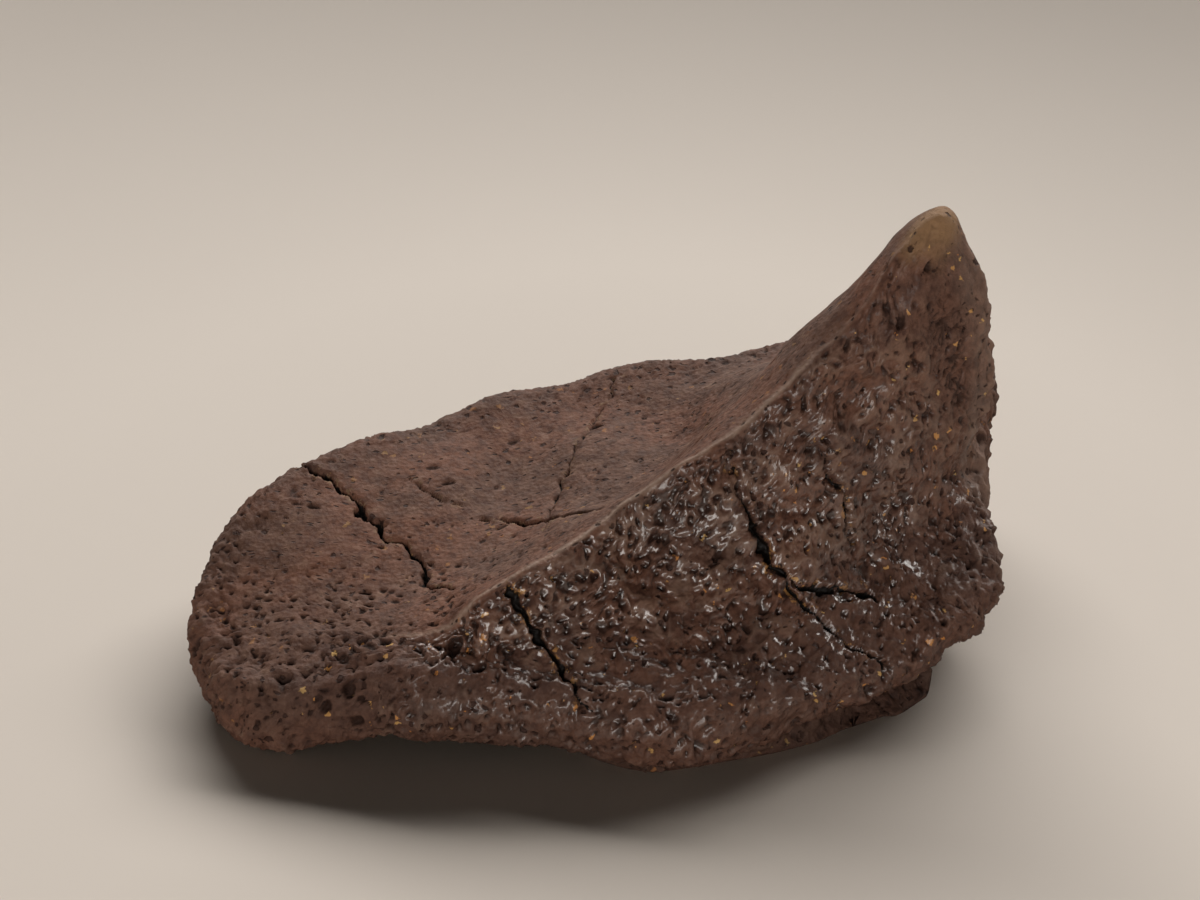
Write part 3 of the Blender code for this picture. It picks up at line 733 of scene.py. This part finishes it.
def along_skin(ways, normals):
    """How long each way is without the part of it that runs along the normal, and FAR
    where that part is long."""
    up = (ways * normals).sum(1)
    flat = np.linalg.norm(ways - up[:, None] * normals, axis=1)
    return np.where(abs(up) > SKIN_REACH, FAR, flat)


def beside_line(places, normals, route):
    """Distance along the skin from each corner to the edge of the line, below 0 inside it,
    and the width there."""
    route = np.array(route, float)
    nearest = np.full(len(places), FAR)
    width = np.zeros(len(places))
    for start, end in zip(route, route[1:]):
        piece = (end - start)[:3]
        t = np.clip((places - start[:3]) @ piece / (piece @ piece), 0, 1)
        here = start[3] + t * (end[3] - start[3])
        gap = along_skin(places - start[:3] - t[:, None] * piece, normals) - here / 2
        width = np.where(gap < nearest, here, width)
        nearest = np.minimum(nearest, gap)
    return nearest, width


print("corners more than", SKIN_REACH, "mm over or under a line are left alone")

# %% Cracks in the skin
CRACK_WALL = 0.25  # width over which a wall goes down
BARE_DEPTH, DEPTH_OF_WIDTH = 0.8, 1.3  # depth of a hairline, and what its width adds to it

shaken = form + shaken_by(form, 3.2, 81) + 0.45 * shaken_by(form, 1.1, 84)
coming_and_going = noise(form / 1.7, 87)
crack_gap = np.full(len(form), FAR)
sunk = np.zeros(len(form))
for greatest, run_out, broken, route in CRACKS.values():
    first, second = np.array(route[0][:3]), np.array(route[1][:3])
    ahead = (first - second) / np.linalg.norm(first - second)
    if run_out:
        route = ((*(first + ahead * run_out), route[0][3]), *route)
    gap, width = beside_line(shaken, normals, route)
    gap = gap + broken * width * (0.25 + coming_and_going)
    crack_gap = np.minimum(crack_gap, gap)
    depth = np.minimum(greatest, BARE_DEPTH + DEPTH_OF_WIDTH * width)
    sunk = np.maximum(sunk, depth * smooth_step(CRACK_WALL, -CRACK_WALL, gap))
cracked = smooth_step(CRACK_WALL, -CRACK_WALL, crack_gap)
print("cracks hold", int((cracked > 0.5).sum()), "corners")

# %% [markdown]
# ## Holes as big as a lentil
#
# A few blood vessels left holes that are larger than the rest. Chance would put them
# anywhere, so each has its own place. They are sunk as the cracks are, by the distance
# along the skin, and so they stay round where the bone is steep.

# %% Larger holes
# Middle, radius and depth
HOLES = (
    ((-27.2, -38.1, 19.8), 1.28, 1.92), ((-22.3, -40.5, 18.5), 1.11, 1.76),
    ((-56.4, -39.3, 14.1), 1.45, 1.76), ((-45.3, -43.9, 14.7), 1.28, 1.6),
    ((-43.7, -46.1, 8.7), 1.36, 1.92), ((-49.6, -45.9, 10.9), 1.11, 1.6),
    ((-37.8, -46.1, 8.3), 1.11, 1.6), ((15.0, -50.6, 8.3), 1.28, 1.76),
    ((55.7, 0.7, 71.5), 0.94, 1.44), ((47.5, -1.3, 64.8), 0.94, 1.44),
    ((55.6, -0.5, 64.4), 0.85, 1.28), ((50.0, -2.6, 62.6), 0.94, 1.44),
)
hole = np.zeros(len(form))
for middle, radius, depth in HOLES:
    away = along_skin(form + 0.6 * wander - middle, normals)
    inside = np.clip(1 - away / radius, 0, 1)
    profile = inside * (2 - inside)
    hole = np.maximum(hole, profile)
    sunk = np.maximum(sunk, depth * profile)
print("holes hold", int((hole > 0.3).sum()), "corners")

# %% [markdown]
# ## Putting the relief on
#
# Every corner moves along its own normal by the sum of what was worked out. A Displace
# modifier would do the same from a texture, but these heights are known already. The
# result stays inside the solid's box and on or over the ground.

# %% The finished corners
BOX_MARGIN = np.array((0.05, 0.05, 0.005))  # thinning can move a corner outwards a little

skin = form + normals * (relief * (1 - cracked) - sunk)[:, None]
skin = np.clip(skin, LOW + BOX_MARGIN, HIGH - BOX_MARGIN)
print("skin from", skin.min(0).round(1), "to", skin.max(0).round(1), "mm")

# %% [markdown]
# ## Into Blender, thinned where it is smooth
#
# So many triangles are only needed where the relief is fine. The Decimate modifier
# merges edges where that changes the surface least, which leaves the budget of
# triangles in the pits and cracks. The masks travel along as attributes.

# %% Masks for the material
deepest = np.maximum.reduce
# How deep each corner lies in a pit, slit or groove; the material paints shade there, over darker
# brown
pitted = (
    in_front * (1 - rim) * (1 - past_tip) * calm
    * deepest([front_pits, big_front_pits, flutes, 0.7 * folds * folded])
    + in_front * horn_holes
    + behind * (1 - rim)
    * deepest([dashes, short_dashes, 0.7 * specks, 0.9 * low_left * front_pits])
    + rim * (1 - 0.2 * at_back) * deepest([rim_pits, 0.9 * front_pits])
    + under * rim_pits + hole
)
# raised leads to a painted highlight on ridges, under to painted shade, crest partly to a painted
# highlight
masks = {
    "pitted": np.clip(pitted, 0, 1),
    "raised": np.clip(0.5 + relief, 0, 1), "crack_gap": crack_gap,
    "in_front": in_front * (1 - under), "glossy": glossy, "rim": rim, "under": under,
    "tip": tip, "past_tip": past_tip, "crest": crest,
}
print({label: float(values.mean().round(2)) for label, values in masks.items()})

# %% The mesh
def mesh_of(name, points, faces, masks, chart=None):
    """A mesh in metres with each mask as a number on its corners, and the map as a vector."""
    mesh = bpy.data.meshes.new(name)
    mesh.vertices.add(len(points))
    mesh.vertices.foreach_set("co", (points * MM).astype(np.float32).ravel())
    mesh.loops.add(3 * len(faces))
    mesh.loops.foreach_set("vertex_index", faces.astype(np.int32).ravel())
    mesh.polygons.add(len(faces))
    mesh.polygons.foreach_set("loop_start", np.arange(0, 3 * len(faces), 3, dtype=np.int32))
    mesh.update(calc_edges=True)
    for label, values in masks.items():
        layer = mesh.attributes.new(label, "FLOAT", "POINT")
        layer.data.foreach_set("value", values.astype(np.float32))
    if chart is not None:
        layer = mesh.attributes.new("grain_map", "FLOAT_VECTOR", "POINT")
        layer.data.foreach_set("vector", chart.astype(np.float32).ravel())
    return mesh


mesh = mesh_of("fossil_scute", skin, faces, masks, chart)
scute = bpy.data.objects.new("fossil_scute", mesh)
bpy.context.scene.collection.objects.link(scute)
print(len(mesh.polygons), "faces before thinning")

# %% Thinning
TRIANGLE_BUDGET = 198000

thin = scute.modifiers.new("thin", "DECIMATE")
thin.ratio = TRIANGLE_BUDGET / len(faces)
bpy.context.view_layer.update()
graph = bpy.context.evaluated_depsgraph_get()
thinned = bpy.data.meshes.new_from_object(scute.evaluated_get(graph))
scute.modifiers.clear()
scute.data = thinned
bpy.data.meshes.remove(mesh)
thinned.name = "fossil_scute"
thinned.shade_smooth()
print(len(thinned.polygons), "faces after thinning", [a.name for a in thinned.attributes])

# %% [markdown]
# ## Node helpers
#
# A material is a network of nodes. `put` adds one node, links what is a socket and sets
# what is a value. The helpers after it are the few kinds of node that every material here
# is made of: sums, soft ramps, mixed colours, noise, and scattered dots.

# %% One node
def join(tree, value, socket):
    """Links the socket to the value if that is a socket too, and otherwise sets it."""
    if hasattr(value, "is_linked"):
        tree.links.new(value, socket)
    else:
        socket.default_value = value


def put(tree, kind, **values):
    """One node. A key names a setting or an input, or gives an input's number, as i1."""
    node = tree.nodes.new("ShaderNode" + kind)
    for key, value in values.items():
        if key[1:].isdigit():
            join(tree, value, node.inputs[int(key[1:])])
        elif key in node.inputs:
            join(tree, value, node.inputs[key])
        else:
            setattr(node, key, value)
    return node


print("put and join are ready")

# %% Numbers and colours
def maths(tree, operation, *terms):
    """The operation on two or three terms."""
    numbered = {f"i{place}": term for place, term in enumerate(terms)}
    return put(tree, "Math", operation=operation, **numbered).outputs[0]


def times(tree, first, second):
    return maths(tree, "MULTIPLY", first, second)


def ramp(tree, value, low, high, to_low=0.0, to_high=1.0):
    """The value's place between low and high, from to_low to to_high, eased at the ends."""
    node = put(
        tree, "MapRange", interpolation_type="SMOOTHSTEP",
        i0=value, i1=low, i2=high, i3=to_low, i4=to_high,
    )
    return node.outputs[0]


def mix(tree, share, first, second):
    """The first colour where share is 0, the second where it is 1."""
    return put(tree, "Mix", data_type="RGBA", i0=share, i6=first, i7=second).outputs[2]


print("maths, times, ramp and mix are ready")

# %% Patterns
def hills(tree, place, scale, detail, roughness=0.5):
    """Noise with `scale` hills to one unit of the place. Output 0 is grey, 1 coloured."""
    node = put(
        tree, "TexNoise", Vector=place, Scale=scale, Detail=detail, Roughness=roughness
    )
    return node.outputs


def stretched(tree, chart, along, aside):
    """The place on the map, with its two numbers multiplied by these."""
    scales = (along, aside, 0)
    return put(tree, "VectorMath", operation="MULTIPLY", i0=chart, i1=scales).outputs[0]


def bent(tree, place, scale, detail, push):
    """The place pushed about by coloured noise, so that round dots get ragged edges."""
    node = put(
        tree, "VectorMath", operation="MULTIPLY_ADD",
        i0=hills(tree, place, scale, detail)[1], i1=(push, push, push), i2=place,
    )
    return node.outputs[0]


def dots(tree, place, scale, share, radius, edge):
    """Round dots in the cells of a Voronoi texture. Each cell has three random numbers r.
    A dot is drawn if r1 < share, and its radius is radius[0] + radius[1] * r2. The mask
    rises over `edge` inside it. Returns the mask and r3, for its tint."""
    cells = put(tree, "TexVoronoi", Vector=place, Scale=scale)
    chance, size, tint = put(tree, "SeparateColor", Color=cells.outputs["Color"]).outputs
    reach = maths(tree, "MULTIPLY_ADD", size, radius[1], radius[0])
    inside = maths(tree, "SUBTRACT", reach, cells.outputs["Distance"])
    drawn = maths(tree, "LESS_THAN", chance, share)
    return times(tree, drawn, ramp(tree, inside, *edge)), tint


print("hills, stretched, bent and dots are ready")

# %% A group
def new_group(name, inputs, outputs):
    """A shader node group, with its sockets' names in tuples under their kinds. Returns
    it, the sockets that give its inputs, and those that take its outputs."""
    tree = bpy.data.node_groups.new(name, "ShaderNodeTree")
    for in_out, sockets in (("INPUT", inputs), ("OUTPUT", outputs)):
        for kind, labels in sockets.items():
            for label in labels:
                tree.interface.new_socket(
                    label, in_out=in_out, socket_type="NodeSocket" + kind
                )
    print("group", name, "takes", sum(inputs.values(), ()))
    ends = tree.nodes.new("NodeGroupInput"), tree.nodes.new("NodeGroupOutput")
    return tree, ends[0].outputs, ends[1].inputs


print("new_group is ready")

# %% [markdown]
# ## Patches of colour
#
# Iron in the ground stained the bone unevenly: red-brown here, grey-brown there, darker
# in streaks along the grain. The group mixes four browns by noise of two sizes and by
# streaks on the map.

# %% Group: stained bone
stained, give, take = new_group(
    "stained_bone",
    {
        "Vector": ("Place", "Grain"),
        "Color": ("Red brown", "Grey brown", "Dark", "Pale"),
        "Float": ("Streaks",),
    },
    {"Color": ("Colour",)},
)
patches = hills(stained, give["Place"], 55.0, 3.0, 0.6)[0]
mottle = hills(stained, give["Place"], 420.0, 4.0, 0.65)[0]
streak = hills(stained, stretched(stained, give["Grain"], 0.09, 0.9), 1.0, 4.0, 0.6)[0]
red = ramp(stained, patches, 0.38, 0.62)
dark = times(stained, ramp(stained, mottle, 0.56, 0.36), 0.55)
pale = times(stained, ramp(stained, mottle, 0.55, 0.72), 0.4)
streaked = times(stained, ramp(stained, streak, 0.52, 0.35), give["Streaks"])
colour = mix(stained, red, give["Grey brown"], give["Red brown"])
colour = mix(stained, dark, colour, give["Dark"])
colour = mix(stained, pale, colour, give["Pale"])
join(stained, mix(stained, streaked, colour, give["Dark"]), take["Colour"])

# %% [markdown]
# ## Specks of ochre
#
# Grains of yellow and orange clay sit in some pits. They are scattered dots, bent out of
# round, and a slow noise crowds them together in places.

# %% Group: specks
speckled, give, take = new_group(
    "clay_specks",
    {"Vector": ("Place",), "Float": ("Per metre", "Share", "Radius")},
    {"Float": ("Mask", "Tint")},
)
crowd = ramp(speckled, hills(speckled, give["Place"], 90.0, 1.0)[0], 0.4, 0.65, 0.3, 2.2)
spots, tint = dots(
    speckled, bent(speckled, give["Place"], 1100.0, 3.0, 0.0022), give["Per metre"],
    share=times(speckled, give["Share"], crowd),
    radius=(times(speckled, give["Radius"], 0.4), give["Radius"]), edge=(-0.02, 0.07),
)
join(speckled, spots, take["Mask"])
join(speckled, tint, take["Tint"])

# %% [markdown]
# ## The edge of a crack
#
# The mesh carries the distance to the nearest crack as a number on its corners. The
# shader reads it between the corners too, so the dark line gets an edge that is sharper
# than the triangles. Crumbs of clay fill the broken edge beside it here and there.

# %% Group: crack edges
split, give, take = new_group(
    "crack_edges", {"Float": ("Gap",), "Vector": ("Place",)}, {"Float": ("Crack", "Filling")}
)
ragged = maths(split, "SUBTRACT", hills(split, give["Place"], 1600.0, 2.0)[0], 0.5)
gap = maths(split, "MULTIPLY_ADD", ragged, 0.5, give["Gap"])
crumbly = ramp(split, hills(split, give["Place"], 520.0, 3.0, 0.7)[0], 0.54, 0.60)
filled = ramp(split, hills(split, give["Place"], 110.0, 1.0)[0], 0.42, 0.55)
near = ramp(split, give["Gap"], 1.5, 0.1)
join(split, ramp(split, gap, 0.08, -0.08), take["Crack"])
join(split, times(split, near, times(split, crumbly, filled)), take["Filling"])

# %% [markdown]
# ## Grain too fine for the mesh
#
# Below half a millimetre the relief is a bump: a height that only bends the light. It has
# crumbs of two sizes, fibres that are long on the map, slits along them and round pits.

# %% Group: fine grain
grained, give, take = new_group(
    "bone_grain",
    {"Vector": ("Place", "Grain"), "Float": ("Crumbs", "Fibres", "Dashes", "Pits")},
    {"Float": ("Height", "Dash", "Pit")},
)
crumbs = hills(grained, give["Place"], 900.0, 5.0, 0.7)[0]
grit = put(grained, "TexVoronoi", Vector=give["Place"], Scale=1100.0).outputs["Distance"]
fibres = hills(grained, stretched(grained, give["Grain"], 0.35, 3.2), 1.0, 4.0, 0.6)[0]
slits, _ = dots(
    grained, stretched(grained, give["Grain"], 0.6, 1.05), 1.0,
    share=0.4, radius=(0.10, 0.22), edge=(-0.03, 0.10),
)
slits = times(grained, slits, give["Dashes"])
pores, _ = dots(
    grained, bent(grained, give["Place"], 700.0, 2.0, 0.0016), 480.0,
    share=times(grained, give["Pits"], 0.6), radius=(0.10, 0.24), edge=(-0.03, 0.12),
)
crumbled = times(grained, maths(grained, "MULTIPLY_ADD", grit, 0.7, crumbs), give["Crumbs"])
raised = maths(grained, "MULTIPLY_ADD", fibres, give["Fibres"], crumbled)
raised = maths(grained, "MULTIPLY_ADD", pores, -1.3, maths(grained, "SUBTRACT", raised, slits))
for value, label in ((raised, "Height"), (slits, "Dash"), (pores, "Pit")):
    join(grained, value, take[label])

# %% [markdown]
# ## Fossil bone
#
# One material covers the whole scute. The masks steer it: pits and slits are darker,
# partly darker brown and partly painted shade, and cracks are darker. Ridges are painted
# paler as a highlight, the rim is darker, the underside is painted dark as shade, and the
# keel has a thin pale line, partly worn bone and partly a painted highlight. The horn's tip
# is tan. Clay in the cracks is dull brown behind the keel and ochre in front. In front a
# coat of old varnish gives small wet highlights, behind the keel the stone is matt.

# %% Shades of the bone
BACK_BROWNS = {
    "Red brown": (0.140, 0.062, 0.039, 1), "Grey brown": (0.112, 0.058, 0.040, 1),
    "Dark": (0.045, 0.020, 0.014, 1), "Pale": (0.24, 0.15, 0.105, 1), "Streaks": 0.2,
}
FRONT_BROWNS = {
    "Red brown": (0.116, 0.053, 0.034, 1), "Grey brown": (0.094, 0.048, 0.034, 1),
    "Dark": (0.030, 0.012, 0.009, 1), "Pale": (0.20, 0.12, 0.09, 1), "Streaks": 0.15,
}
OCHRES = ((0.45, 0.17, 0.040, 1), (0.46, 0.29, 0.11, 1))
CRACK_CLAYS = ((0.19, 0.12, 0.07, 1), (0.40, 0.20, 0.065, 1))
CRACK_BLACK = (0.006, 0.004, 0.003, 1)
SPECKS = {"Per metre": 420.0, "Share": 0.24, "Radius": 0.21}
print(len(BACK_BROWNS) - 1, "browns behind the keel, as many in front, and", len(OCHRES), "ochres")

# %% The material and its groups
bone = bpy.data.materials.new("fossil_bone")
bone.use_nodes = True
tree = bone.node_tree
shader = tree.nodes["Principled BSDF"]
place = put(tree, "TexCoord").outputs["Object"]
grain = put(tree, "Attribute", attribute_name="grain_map").outputs["Vector"]
# Each mask of the mesh as a socket, from 0 to 1 but for the crack's gap, in millimetres
on = {label: put(tree, "Attribute", attribute_name=label).outputs["Fac"] for label in masks}

edges = put(tree, "Group", node_tree=split, Gap=on["crack_gap"], Place=place).outputs
fine_grain = put(
    tree, "Group", node_tree=grained, Place=place, Grain=grain,
    Crumbs=ramp(tree, on["glossy"], 0, 1, 0.65, 0.5),
    Fibres=ramp(tree, on["in_front"], 0, 1, 0.14, 0.2),
    Dashes=ramp(tree, on["in_front"], 0, 1, 1.0, 0.3),
    Pits=ramp(tree, maths(tree, "MAXIMUM", on["in_front"], on["rim"]), 0, 1, 0.55, 1.0),
).outputs
grains = put(tree, "Group", node_tree=speckled, Place=place, **SPECKS).outputs
browns = [
    put(tree, "Group", node_tree=stained, Place=place, Grain=grain, **shades).outputs[0]
    for shades in (BACK_BROWNS, FRONT_BROWNS)
]
print("material", bone.name, "has", len(tree.nodes), "nodes so far")

# %% Layers of colour
# Each layer: where it lies, how much it covers there, and its shade
LAYERS = (
    (ramp(tree, on["raised"], 0.6, 1.0), 0.3, (0.22, 0.14, 0.10)),  # painted highlight on the ridges
    (on["rim"], 0.3, (0.062, 0.035, 0.027)),  # darker round the rim
    # painted shade underneath, in the hollow
    (on["under"], 0.8, (0.042, 0.022, 0.016)),
    (on["crest"], 0.7, (0.32, 0.235, 0.185)),  # pale line on the keel: partly worn bone, partly a painted highlight
    (on["past_tip"], 0.3, (0.20, 0.145, 0.115)),
    (on["tip"], 0.8, (0.24, 0.140, 0.070)),  # tan
    (fine_grain["Dash"], 0.92, (0.026, 0.012, 0.009)),  # painted shade inside, over darker brown, as the next two
    (fine_grain["Pit"], 0.85, (0.026, 0.011, 0.008)),
    (ramp(tree, on["pitted"], 0.15, 0.7), 0.82, (0.022, 0.010, 0.007)),
)
colour = mix(tree, on["in_front"], *browns)
for where, share, shade in LAYERS:
    colour = mix(tree, times(tree, where, share), colour, (*shade, 1))
grain_share = times(tree, grains["Mask"], ramp(tree, on["in_front"], 0, 1, 0.3, 0.85))
colour = mix(tree, grain_share, colour, mix(tree, grains["Tint"], *OCHRES))
clay = mix(tree, on["in_front"], *CRACK_CLAYS)
colour = mix(tree, times(tree, edges["Filling"], 0.75), colour, clay)
colour = mix(tree, edges["Crack"], colour, CRACK_BLACK)
join(tree, colour, shader.inputs["Base Color"])
print(len(LAYERS), "layers of colour, then specks and cracks")

# %% Shine and bump
mottled = hills(tree, place, 900.0, 3.0)[0]
matt = ramp(tree, mottled, 0.35, 0.65, 0.0, 0.14)
roughness = maths(tree, "ADD", ramp(tree, on["glossy"], 0, 1, 0.62, 0.36), matt)
varnish = times(tree, on["glossy"], ramp(tree, mottled, 0.68, 0.42, 0.35, 0.85))
hollow = maths(tree, "MAXIMUM", edges["Crack"], fine_grain["Pit"])
varnish = times(tree, varnish, maths(tree, "SUBTRACT", 1.0, hollow))
bump = put(tree, "Bump", Strength=0.8, Distance=0.0005, Height=fine_grain["Height"])
for label, value in (
    ("Roughness", roughness), ("Normal", bump.outputs[0]), ("Coat Weight", varnish),
    ("Coat Roughness", 0.18), ("Coat IOR", 1.6), ("Specular IOR Level", 0.15),
):
    join(tree, value, shader.inputs[label])
scute.data.materials.clear()
scute.data.materials.append(bone)
print("material", bone.name, "with", len(tree.nodes), "nodes")

# %% The scute takes the solid's place
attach(scute, "root")
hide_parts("scute")
print("the skin rides on root and stands for the solid")

# %% [markdown]
# ## The ground, the light and the camera
#
# The scute lies on a sheet of pale card, which is flat under it and bends up gently all
# round, as a studio's backdrop does. One large soft light stands behind it, so that its
# front is in half shade and its shadow falls forwards. A small reflector stands low in
# front. It is linked to the stone alone, so that it draws the wet highlights on the front
# and leaves the shadow dark.

# %% The card's finish
card = bpy.data.materials.new("pale_card")
card.use_nodes = True
card_shader = card.node_tree.nodes["Principled BSDF"]
card_place = put(card.node_tree, "TexCoord").outputs["Object"]
fleck = hills(card.node_tree, card_place, 6.0, 2.0)[0]
card_colour = mix(card.node_tree, fleck, (0.66, 0.60, 0.545, 1), (0.69, 0.63, 0.57, 1))
join(card.node_tree, card_colour, card_shader.inputs["Base Color"])
card_shader.inputs["Roughness"].default_value = 0.7
card_shader.inputs["Specular IOR Level"].default_value = 0.2
print("material", card.name, "with", len(card.node_tree.nodes), "nodes")

# %% The card's shape
FLAT_RADIUS, BEND_RADIUS, CARD_SLOPE, CARD_RADIUS = 125.0, 440.0, np.radians(20), 1200.0
BEND_ROWS, CARD_COLUMNS = 12, 96


def dish():
    """Rings round the centre. Their height over the radius r is 0 to the flat radius f,
    then b - sqrt(b^2 - (r - f)^2) of a circle of radius b, then a straight slope."""
    bend_end = FLAT_RADIUS + BEND_RADIUS * np.sin(CARD_SLOPE)
    radius = np.concatenate([[0], np.linspace(FLAT_RADIUS, bend_end, BEND_ROWS), [CARD_RADIUS]])
    into = np.clip(radius, FLAT_RADIUS, bend_end) - FLAT_RADIUS
    height = BEND_RADIUS - np.sqrt(BEND_RADIUS**2 - into**2)
    height[-1] += (CARD_RADIUS - bend_end) * np.tan(CARD_SLOPE)
    turn = np.linspace(0, 2 * np.pi, CARD_COLUMNS, endpoint=False)
    return np.stack([
        radius[:, None] * np.cos(turn), radius[:, None] * np.sin(turn),
        height[:, None] + 0 * turn,
    ], -1)


rings = dish()
card_faces = triangles(shared_corners(rings))
kept, card_faces = np.unique(card_faces, return_inverse=True)
card_points, card_faces = rings.reshape(-1, 3)[kept], card_faces.reshape(-1, 3)
if normals_of(card_points, card_faces)[:, 2].sum() < 0:
    card_faces = card_faces[:, ::-1]
ground = bpy.data.objects.new("ground", mesh_of("ground", card_points, card_faces, {}))
ground.data.shade_smooth()
ground.data.materials.append(card)
bpy.context.scene.collection.objects.link(ground)
print("card", 2 * CARD_RADIUS * MM, "m wide, its edge", round(rings[-1, 0, 2]), "mm up")

# %% Light
LIT = np.array((0, 0, 0.03))  # the place that the lamps face, in metres


def lamp(name, size, power, turn, rise, away):
    """A rectangular area light that faces the scute. It stands `away` metres off, turned
    from the back towards the right and raised from the ground by the two angles."""
    turn, rise = np.radians((turn, rise))
    towards = np.array((np.cos(rise) * np.sin(turn), np.cos(rise) * np.cos(turn), np.sin(rise)))
    data = bpy.data.lights.new(name, "AREA")
    data.shape = "RECTANGLE"
    data.size, data.size_y = size
    data.energy, data.color = power, (1.0, 0.965, 0.92)
    made = bpy.data.objects.new(name, data)
    made.location = LIT + away * towards
    made.rotation_mode = "QUATERNION"
    made.rotation_quaternion = Vector(-towards).to_track_quat("-Z", "Y")
    bpy.context.scene.collection.objects.link(made)
    return made


lamp("window", (12.0, 3.2), 1230.0, 15, 35, 8.0)
reflector = lamp("reflector", (1.6, 1.2), 54.0, 188, 17, 2.2)
stone_only = bpy.data.collections.new("stone_only")
stone_only.objects.link(scute)
reflector.light_linking.receiver_collection = stone_only

# %% The room
world = bpy.data.worlds.new("room")
bpy.context.scene.world = world
world.use_nodes = True
room = world.node_tree
direction = put(room, "TexCoord").outputs["Generated"]
up = put(room, "SeparateXYZ", Vector=direction).outputs[2]
background = room.nodes["Background"].inputs
background["Color"].default_value = (1.0, 0.975, 0.945, 1)
join(room, ramp(room, up, 0.05, 0.35, 0.3, 0.01), background["Strength"])
bpy.context.scene.view_settings.view_transform = "Standard"
print("a room that is bright low down, as a world of", len(room.nodes), "nodes")

# %% Camera
LENS, ELEVATION, DISTANCE = 65.0, 35.0, 0.400  # millimetres, degrees and metres
TARGET = (-0.0019, 0.0059, 0.030)
tilt = np.radians(ELEVATION)
camera_data = bpy.data.cameras.new("camera")
camera_data.lens = LENS
camera = bpy.data.objects.new("camera", camera_data)
camera.location = (
    TARGET[0], TARGET[1] - DISTANCE * np.cos(tilt), TARGET[2] + DISTANCE * np.sin(tilt)
)
camera.rotation_euler = (np.pi / 2 - tilt, 0, 0)
bpy.context.scene.collection.objects.link(camera)
bpy.context.scene.camera = camera
print("camera at", tuple(round(v, 3) for v in camera.location))
